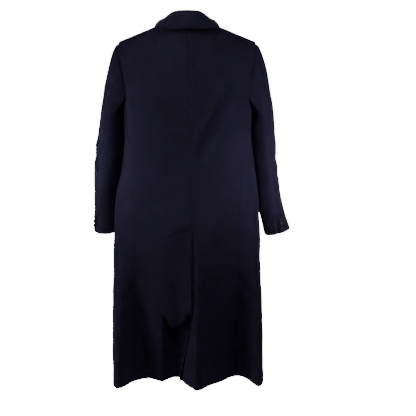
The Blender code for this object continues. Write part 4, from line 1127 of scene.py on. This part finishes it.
def lapel(side, out, up):
    """Outer face of a lapel: out is 0 inside its roll and 1 at its outer edge, up is 0 at the break."""
    out, up = np.broadcast_arrays(np.asarray(out, float), np.asarray(up, float))
    lines = LAPEL_LINES[side]
    keys = np.linspace(0, 1, len(lines))
    roll, edge = (spline(keys, [getattr(line, c) for line in lines], up) for c in ("roll", "edge"))
    width = np.linalg.norm(edge - roll, axis=-1)
    fullness = np.clip((width - LAPEL_NARROW) / LAPEL_WIDENING, 0, 1)
    beyond = read(LAPEL_BENDS, "at", "beyond", out)[..., None]
    lift = read(LAPEL_BENDS, "at", "lift", out)
    lift = LAPEL_LIFTS[side] + (lift - LAPEL_LIFTS[LEFT]) * fullness
    along = read(LAPEL_BENDS, "at", "across", out)[..., None]
    seen = roll + (edge - roll) * along - unit(edge - roll) * beyond
    return above_front(side, seen[..., 0], seen[..., 1], lift)


def make_lapels(wool):
    for side in (LEFT, RIGHT):
        out = close_shares(*LAPEL_OUT, end=True)
        up = close_shares(*LAPEL_UP, end=True)
        grid = mesh_of(lambda a, d, s=side: lapel(s, a, d), out, up)
        way = grid_normals(grid, lambda at: at * np.array((1, 1, 0)))
        far = distances(grid)
        outer = edge_stitched(grid, way, far, ("end", "bottom"))
        marked = freed(grid.shape[:2], START_EDGE, END_EDGE, TOP_EDGE, BOTTOM_EDGE)
        hang_panel(f"lapel_{SIDE_NAMES[side]}", grid, outer, way, marked, wool, thickness=LAPEL_CLOTH)


# Buttons and sewing

def ring_faces(rings, sides):
    """Quads from each ring of corners to the next."""
    faces = []
    for ring in range(rings - 1):
        for k in range(sides):
            a, b = ring * sides + k, ring * sides + (k + 1) % sides
            faces.append((a, b, b + sides, a + sides))
    return faces


def tube(line, radius, sides=6):
    """Corners and faces of a round thread along a line of points."""
    line = np.asarray(line, float)
    along = unit(np.gradient(line, axis=0))
    across = unit(np.cross(along, np.array((0.31, 0.52, 0.79))))
    above = np.cross(along, across)
    turns = np.linspace(0, 2 * math.pi, sides, endpoint=False)[:, None, None]
    rings = line + (across * np.cos(turns) + above * np.sin(turns)) * radius
    return rings.transpose(1, 0, 2).reshape(-1, 3), ring_faces(len(line), sides)


def threads(name, lines, radius, finish):
    """Several threads as one piece."""
    corners, faces, count = [], [], 0
    for line in lines:
        some, cells = tube(line, radius)
        corners.append(some)
        faces += [tuple(c + count for c in cell) for cell in cells]
        count += len(some)
    return new_piece(name, np.concatenate(corners), faces, finish)


def turned_button(name, radius, height, place, way, finish, thread):
    """A dished four-hole button with a rounded rim, and the crossed thread that sews it on."""
    way = unit(np.asarray(way, float).reshape(3))
    place = np.asarray(place, float).reshape(3)
    across = unit(np.cross(way, np.array((0, 0, 1.0))))
    upward = np.cross(across, way)
    turns = np.linspace(0, 2 * math.pi, BUTTON_SIDES, endpoint=False)
    spokes = np.cos(turns)[:, None] * across + np.sin(turns)[:, None] * upward
    rings = [place + spokes * radius * max(share, 0.002) + way * height * rise
             for share, rise in BUTTON_SECTION]
    faces = ring_faces(len(rings), BUTTON_SIDES)
    settle(new_piece(f"{name}_horn", np.concatenate(rings), faces, finish), name)
    lines = []
    hole = radius * HOLE_AT
    top, base, crown = height * THREAD_TOP, height * THREAD_BASE, height * THREAD_CROWN
    for one, two in (((1, 1), (-1, -1)), ((1, -1), (-1, 1))):
        arc = []
        for t in np.linspace(0, 1, 9):
            at = np.array(one) * (1 - t) + np.array(two) * t
            rise = base + (top - base) * min(1, 6 * t, 6 * (1 - t)) + crown * math.sin(math.pi * t)
            arc.append(place + (across * at[0] + upward * at[1]) * hole + way * rise)
        lines.append(arc)
    settle(threads(f"{name}_thread", lines, radius * THREAD_RADIUS, thread), None)


def front_place(across, drop):
    share, down = on_front(LEFT, across, drop)
    way = facing(lambda a, d: front(LEFT, a, d), share, down, from_axis)
    return front(LEFT, share, down), way


def make_buttons(horn, thread):
    for k, drop in enumerate(FRONT_BUTTON_DROPS, start=1):
        place, way = front_place(0.0, drop)
        turned_button(f"front_button_{k}", FRONT_BUTTON_RADIUS, FRONT_BUTTON_HEIGHT,
                      place + way * BUTTON_SEAT, way, horn, thread)
        turns = np.linspace(0, 2 * math.pi, 49)
        reach = BUTTONHOLE_LENGTH / 2
        straight = np.clip(np.cos(turns) * 1.6, -1, 1) * (reach - BUTTONHOLE_END)
        sideways = straight + reach + np.cos(turns) * BUTTONHOLE_END
        updown = np.clip(np.sin(turns) * 2.2, -1, 1) * BUTTONHOLE_HALF
        at, out = front_place(sideways, drop + updown)
        rim = threads(f"buttonhole_{k}", [at + out * BUTTONHOLE_LIFT], BUTTONHOLE_THREAD, thread)
        settle(rim, None)
    for side in (LEFT, RIGHT):
        rows = SLEEVE_LEVELS[side]
        length = rows[-1].drop - rows[0].drop
        for k, rise in enumerate(CUFF_BUTTON_RISES, start=1):
            down = 1 - (1 - CAP_SHARE) * rise / length
            turn = BACK_SEAM_AT - CUFF_BUTTON_TURN
            place = sleeve(side, turn, down)
            way = facing(lambda t, d: sleeve(side, t, d), np.array(turn), np.array(down),
                         lambda at: at - sleeve_middle(side, -at[..., 2]))
            turned_button(f"cuff_button_{SIDE_NAMES[side]}_{k}", CUFF_BUTTON_RADIUS, CUFF_BUTTON_HEIGHT,
                          place + way * BUTTON_SEAT, way, horn, thread)


def make_vent_stitches(thread):
    """The slanting row of small stitches below the vent's corner."""
    start = np.array((-SEAM_SHIFT + STITCH_ASIDE, VENT_TOP + STITCH_BELOW))
    end = np.array(VENT_STITCH_END)
    length = np.linalg.norm(end - start)
    lines = []
    for at in np.arange(STITCH_ENDS[0], length - STITCH_ENDS[1], STITCH_SPACING):
        line = []
        for t in np.linspace(0, 1, 5):
            across, drop = start + (end - start) * (at + STITCH_LENGTH * t) / length
            angle = angle_at(across, drop, LEFT, "back")
            rise = -STITCH_SINK + STITCH_SINK * math.sin(math.pi * t)
            line.append(torso(angle, drop) + torso_out(angle, drop) * rise)
        lines.append(line)
    settle(threads("vent_stitches", lines, STITCH_THREAD, thread), None)


# Materials

def linear(code):
    """An sRGB hex colour as a linear one."""
    values = [int(code[k:k + 2], 16) / 255 for k in (1, 3, 5)]
    return (*(v / 12.92 if v <= 0.04045 else ((v + 0.055) / 1.055) ** 2.4 for v in values), 1)


def add(tree, kind, settings=None, links=None):
    """A node with its settings (by input or property name) and links (input name: output socket)."""
    node = tree.nodes.new(kind)
    for name, value in (settings or {}).items():
        if isinstance(name, int) or name in node.inputs:
            node.inputs[name].default_value = value
        else:
            setattr(node, name, value)
    for name, socket in (links or {}).items():
        tree.links.new(socket, node.inputs[name])
    return node


def new_material(name):
    made = bpy.data.materials.new(name)
    made.use_nodes = True
    return made, made.node_tree, made.node_tree.nodes["Principled BSDF"]


# Fulled navy wool overcoating, brushed down and pressed: fibre clumps, felted flecks and slow shading of
# the pile, in metres. Real clumps are under a millimetre, and are drawn coarser so that they show.
NAP_CLUMP = 0.0020
FLECK = 0.0065
PILE_SHADE = 0.085
WOOL_DEEP, WOOL_MIDDLE, WOOL_LIGHT = "#110c1e", "#140f23", "#171127"


def brushed_wool():
    """A soft matt face with a short nap that lies downwards and catches a faint violet sheen."""
    made, tree, shader = new_material("fulled_navy_wool")
    where = add(tree, "ShaderNodeTexCoord").outputs["Object"]
    lying = add(tree, "ShaderNodeMapping", {"Scale": (1, 1, 0.45)}, {"Vector": where}).outputs["Vector"]
    nap = add(tree, "ShaderNodeTexNoise", {"Scale": 1 / NAP_CLUMP, "Detail": 4, "Roughness": 0.65},
              {"Vector": lying}).outputs["Fac"]
    fleck = add(tree, "ShaderNodeTexNoise", {"Scale": 1 / FLECK, "Detail": 3, "Roughness": 0.6},
                {"Vector": lying}).outputs["Fac"]
    pile = add(tree, "ShaderNodeTexNoise", {"Scale": 1 / PILE_SHADE, "Detail": 2, "Roughness": 0.5},
               {"Vector": where}).outputs["Fac"]
    half_pile = add(tree, "ShaderNodeMath", {"operation": "MULTIPLY", 1: 0.5}, {0: pile}).outputs[0]
    mixed = add(tree, "ShaderNodeMath", {"operation": "MULTIPLY_ADD", 1: 0.5}, {0: fleck, 2: half_pile})
    ramp = add(tree, "ShaderNodeValToRGB", links={"Fac": mixed.outputs[0]})
    ramp.color_ramp.elements[0].position = 0.36
    ramp.color_ramp.elements[0].color = linear(WOOL_DEEP)
    ramp.color_ramp.elements[1].position = 0.64
    ramp.color_ramp.elements[1].color = linear(WOOL_LIGHT)
    middle = ramp.color_ramp.elements.new(0.50)
    middle.color = linear(WOOL_MIDDLE)
    rough = add(tree, "ShaderNodeMapRange",
                {"From Min": 0.3, "From Max": 0.7, "To Min": 0.82, "To Max": 0.98}, {"Value": nap})
    tree.links.new(ramp.outputs["Color"], shader.inputs["Base Color"])
    tree.links.new(rough.outputs["Result"], shader.inputs["Roughness"])
    shader.inputs["IOR"].default_value = 1.54
    shader.inputs["Specular IOR Level"].default_value = 0.12
    shader.inputs["Sheen Weight"].default_value = 0.05
    shader.inputs["Sheen Roughness"].default_value = 0.45
    shader.inputs["Sheen Tint"].default_value = linear("#6d66a0")
    soft = add(tree, "ShaderNodeBump", {"Strength": 0.22, "Distance": 0.0010}, {"Height": fleck})
    fine = add(tree, "ShaderNodeBump", {"Strength": 0.40, "Distance": 0.0005},
               {"Height": nap, "Normal": soft.outputs["Normal"]})
    tree.links.new(fine.outputs["Normal"], shader.inputs["Normal"])
    return made


def polished_horn():
    """Dark resin moulded and tumbled like horn: a soft gloss, with clouds too faint to see from afar."""
    made, tree, shader = new_material("polished_horn_resin")
    where = add(tree, "ShaderNodeTexCoord").outputs["Object"]
    cloud = add(tree, "ShaderNodeTexNoise", {"Scale": 160, "Detail": 3, "Roughness": 0.6},
                {"Vector": where}).outputs["Fac"]
    ramp = add(tree, "ShaderNodeValToRGB", links={"Fac": cloud})
    ramp.color_ramp.elements[0].position = 0.35
    ramp.color_ramp.elements[0].color = linear("#050508")
    ramp.color_ramp.elements[1].position = 0.70
    ramp.color_ramp.elements[1].color = linear("#0b0a0f")
    tree.links.new(ramp.outputs["Color"], shader.inputs["Base Color"])
    shader.inputs["Roughness"].default_value = 0.34
    shader.inputs["IOR"].default_value = 1.55
    shader.inputs["Specular IOR Level"].default_value = 0.20
    shader.inputs["Coat Weight"].default_value = 0.1
    return made


def thread_in_painted_shade():
    """Navy polyester sewing thread, dark and matt, with its colour painted darker than the wool's as painted
    shade of the nap it sinks into.
    """
    made, tree, shader = new_material("navy_thread_painted_shade")
    # Painted shade: this base colour is darker than the wool to stand for the shade in the nap around the
    # thread
    shader.inputs["Base Color"].default_value = linear("#050409")
    shader.inputs["Roughness"].default_value = 0.70
    shader.inputs["Specular IOR Level"].default_value = 0.01
    where = add(tree, "ShaderNodeTexCoord").outputs["Object"]
    twist = add(tree, "ShaderNodeTexNoise", {"Scale": 2500, "Detail": 1}, {"Vector": where}).outputs["Fac"]
    bump = add(tree, "ShaderNodeBump", {"Strength": 0.3, "Distance": 0.0002}, {"Height": twist})
    tree.links.new(bump.outputs["Normal"], shader.inputs["Normal"])
    return made


# Stage, light and camera

FLOOR_DROP = 1.46
FLOOR_HALF = 14.0

# The camera stands level with the upper back, and its lens gives the photo's scale
CAMERA_PLACE = (0, 2.7, -0.15)
AIM_DROP = 0.592
METRES_A_PIXEL = 0.00328
PHOTO_WIDTH = 416
MIDDLE_PIXEL = 187
SENSOR = 36.0


def lit_to_view(tree, surface, glow):
    """Plain white paper seen by the eye at full brightness, while its light stays soft."""
    seen = add(tree, "ShaderNodeLightPath").outputs["Is Camera Ray"]
    bright = add(tree, "ShaderNodeEmission", {"Color": (1, 1, 1, 1), "Strength": glow})
    both = add(tree, "ShaderNodeMixShader", links={0: seen, 1: surface, 2: bright.outputs[0]})
    return both.outputs[0]


def make_floor():
    mesh = bpy.data.meshes.new("floor")
    ring = [(x * FLOOR_HALF, y * FLOOR_HALF, -FLOOR_DROP) for x, y in ((-1, -1), (1, -1), (1, 1), (-1, 1))]
    mesh.from_pydata(ring, [], [(0, 1, 2, 3)])
    floor = bpy.data.objects.new("floor", mesh)
    bpy.context.scene.collection.objects.link(floor)
    made, tree, shader = new_material("matt_white_paper")
    shader.inputs["Base Color"].default_value = linear("#b4b4b4")
    shader.inputs["Roughness"].default_value = 0.9
    whole = lit_to_view(tree, shader.outputs[0], PAPER_GLOW)
    tree.links.new(whole, tree.nodes["Material Output"].inputs["Surface"])
    floor.data.materials.append(made)


# The studio's lamps: where each stands and aims, the side of its square face, how wide its light spreads,
# in degrees, which a grid makes narrow, and its power in watts
Lamp = namedtuple("Lamp", "name place aim size spread power")
LAMPS = (
    Lamp("high softbox with a grid", (-0.06, 1.50, 1.30), (-0.05, 0, -0.83), 0.7, 34, 1.36),
    Lamp("strip on the left", (2.20, 1.10, -0.10), (0, 0, -0.60), 0.8, 180, 40),
    Lamp("strip on the right", (-2.00, 1.10, 0.50), (0, 0, -0.40), 0.8, 180, 15),
    Lamp("grid on the left sleeve", (1.50, 1.70, 0.30), (0.37, -0.03, -0.42), 0.4, 16, 0.88),
    Lamp("grid on the right sleeve", (-1.10, 2.10, 0.30), (-0.37, -0.03, -0.44), 0.4, 16, 1.70),
    Lamp("softbox before the front", (0.40, -2.20, 1.60), (0, 0, -0.50), 1.2, 180, 70),
    Lamp("grid on the collar", (0.10, 1.60, 1.10), (0, 0.05, 0.02), 0.3, 10, 0.13),
)
ROOM_LIGHT = 0.05
PAPER_GLOW = 16.0


def make_light():
    world = bpy.data.worlds.new("soft_studio")
    bpy.context.scene.world = world
    world.use_nodes = True
    tree = world.node_tree
    room = tree.nodes["Background"]
    room.inputs["Color"].default_value = (1, 1, 1, 1)
    room.inputs["Strength"].default_value = ROOM_LIGHT
    whole = lit_to_view(tree, room.outputs[0], PAPER_GLOW)
    tree.links.new(whole, tree.nodes["World Output"].inputs["Surface"])
    for lamp in LAMPS:
        light = bpy.data.lights.new(lamp.name, "AREA")
        light.size = lamp.size
        light.energy = lamp.power
        light.spread = math.radians(lamp.spread)
        holder = bpy.data.objects.new(lamp.name, light)
        bpy.context.scene.collection.objects.link(holder)
        holder.location = lamp.place
        aim = Vector(lamp.aim) - Vector(lamp.place)
        holder.rotation_euler = aim.to_track_quat("-Z", "Y").to_euler()


def make_camera():
    camera = bpy.data.cameras.new("camera")
    distance = math.hypot(CAMERA_PLACE[1], AIM_DROP + CAMERA_PLACE[2])
    camera.sensor_width = SENSOR
    camera.lens = distance / METRES_A_PIXEL * SENSOR / PHOTO_WIDTH
    camera.shift_x = (PHOTO_WIDTH / 2 - MIDDLE_PIXEL) / PHOTO_WIDTH
    holder = bpy.data.objects.new("camera", camera)
    bpy.context.scene.collection.objects.link(holder)
    holder.location = CAMERA_PLACE
    aim = Vector((0, 0, -AIM_DROP)) - Vector(CAMERA_PLACE)
    holder.rotation_euler = aim.to_track_quat("-Z", "Y").to_euler()
    bpy.context.scene.camera = holder


def main():
    wool, horn, thread = brushed_wool(), polished_horn(), thread_in_painted_shade()
    make_backs(wool)
    make_sides(wool)
    make_fronts(wool)
    make_sleeves(wool)
    make_collar(wool)
    make_lapels(wool)
    make_buttons(horn, thread)
    make_vent_stitches(thread)
    make_floor()
    make_light()
    make_camera()


main()
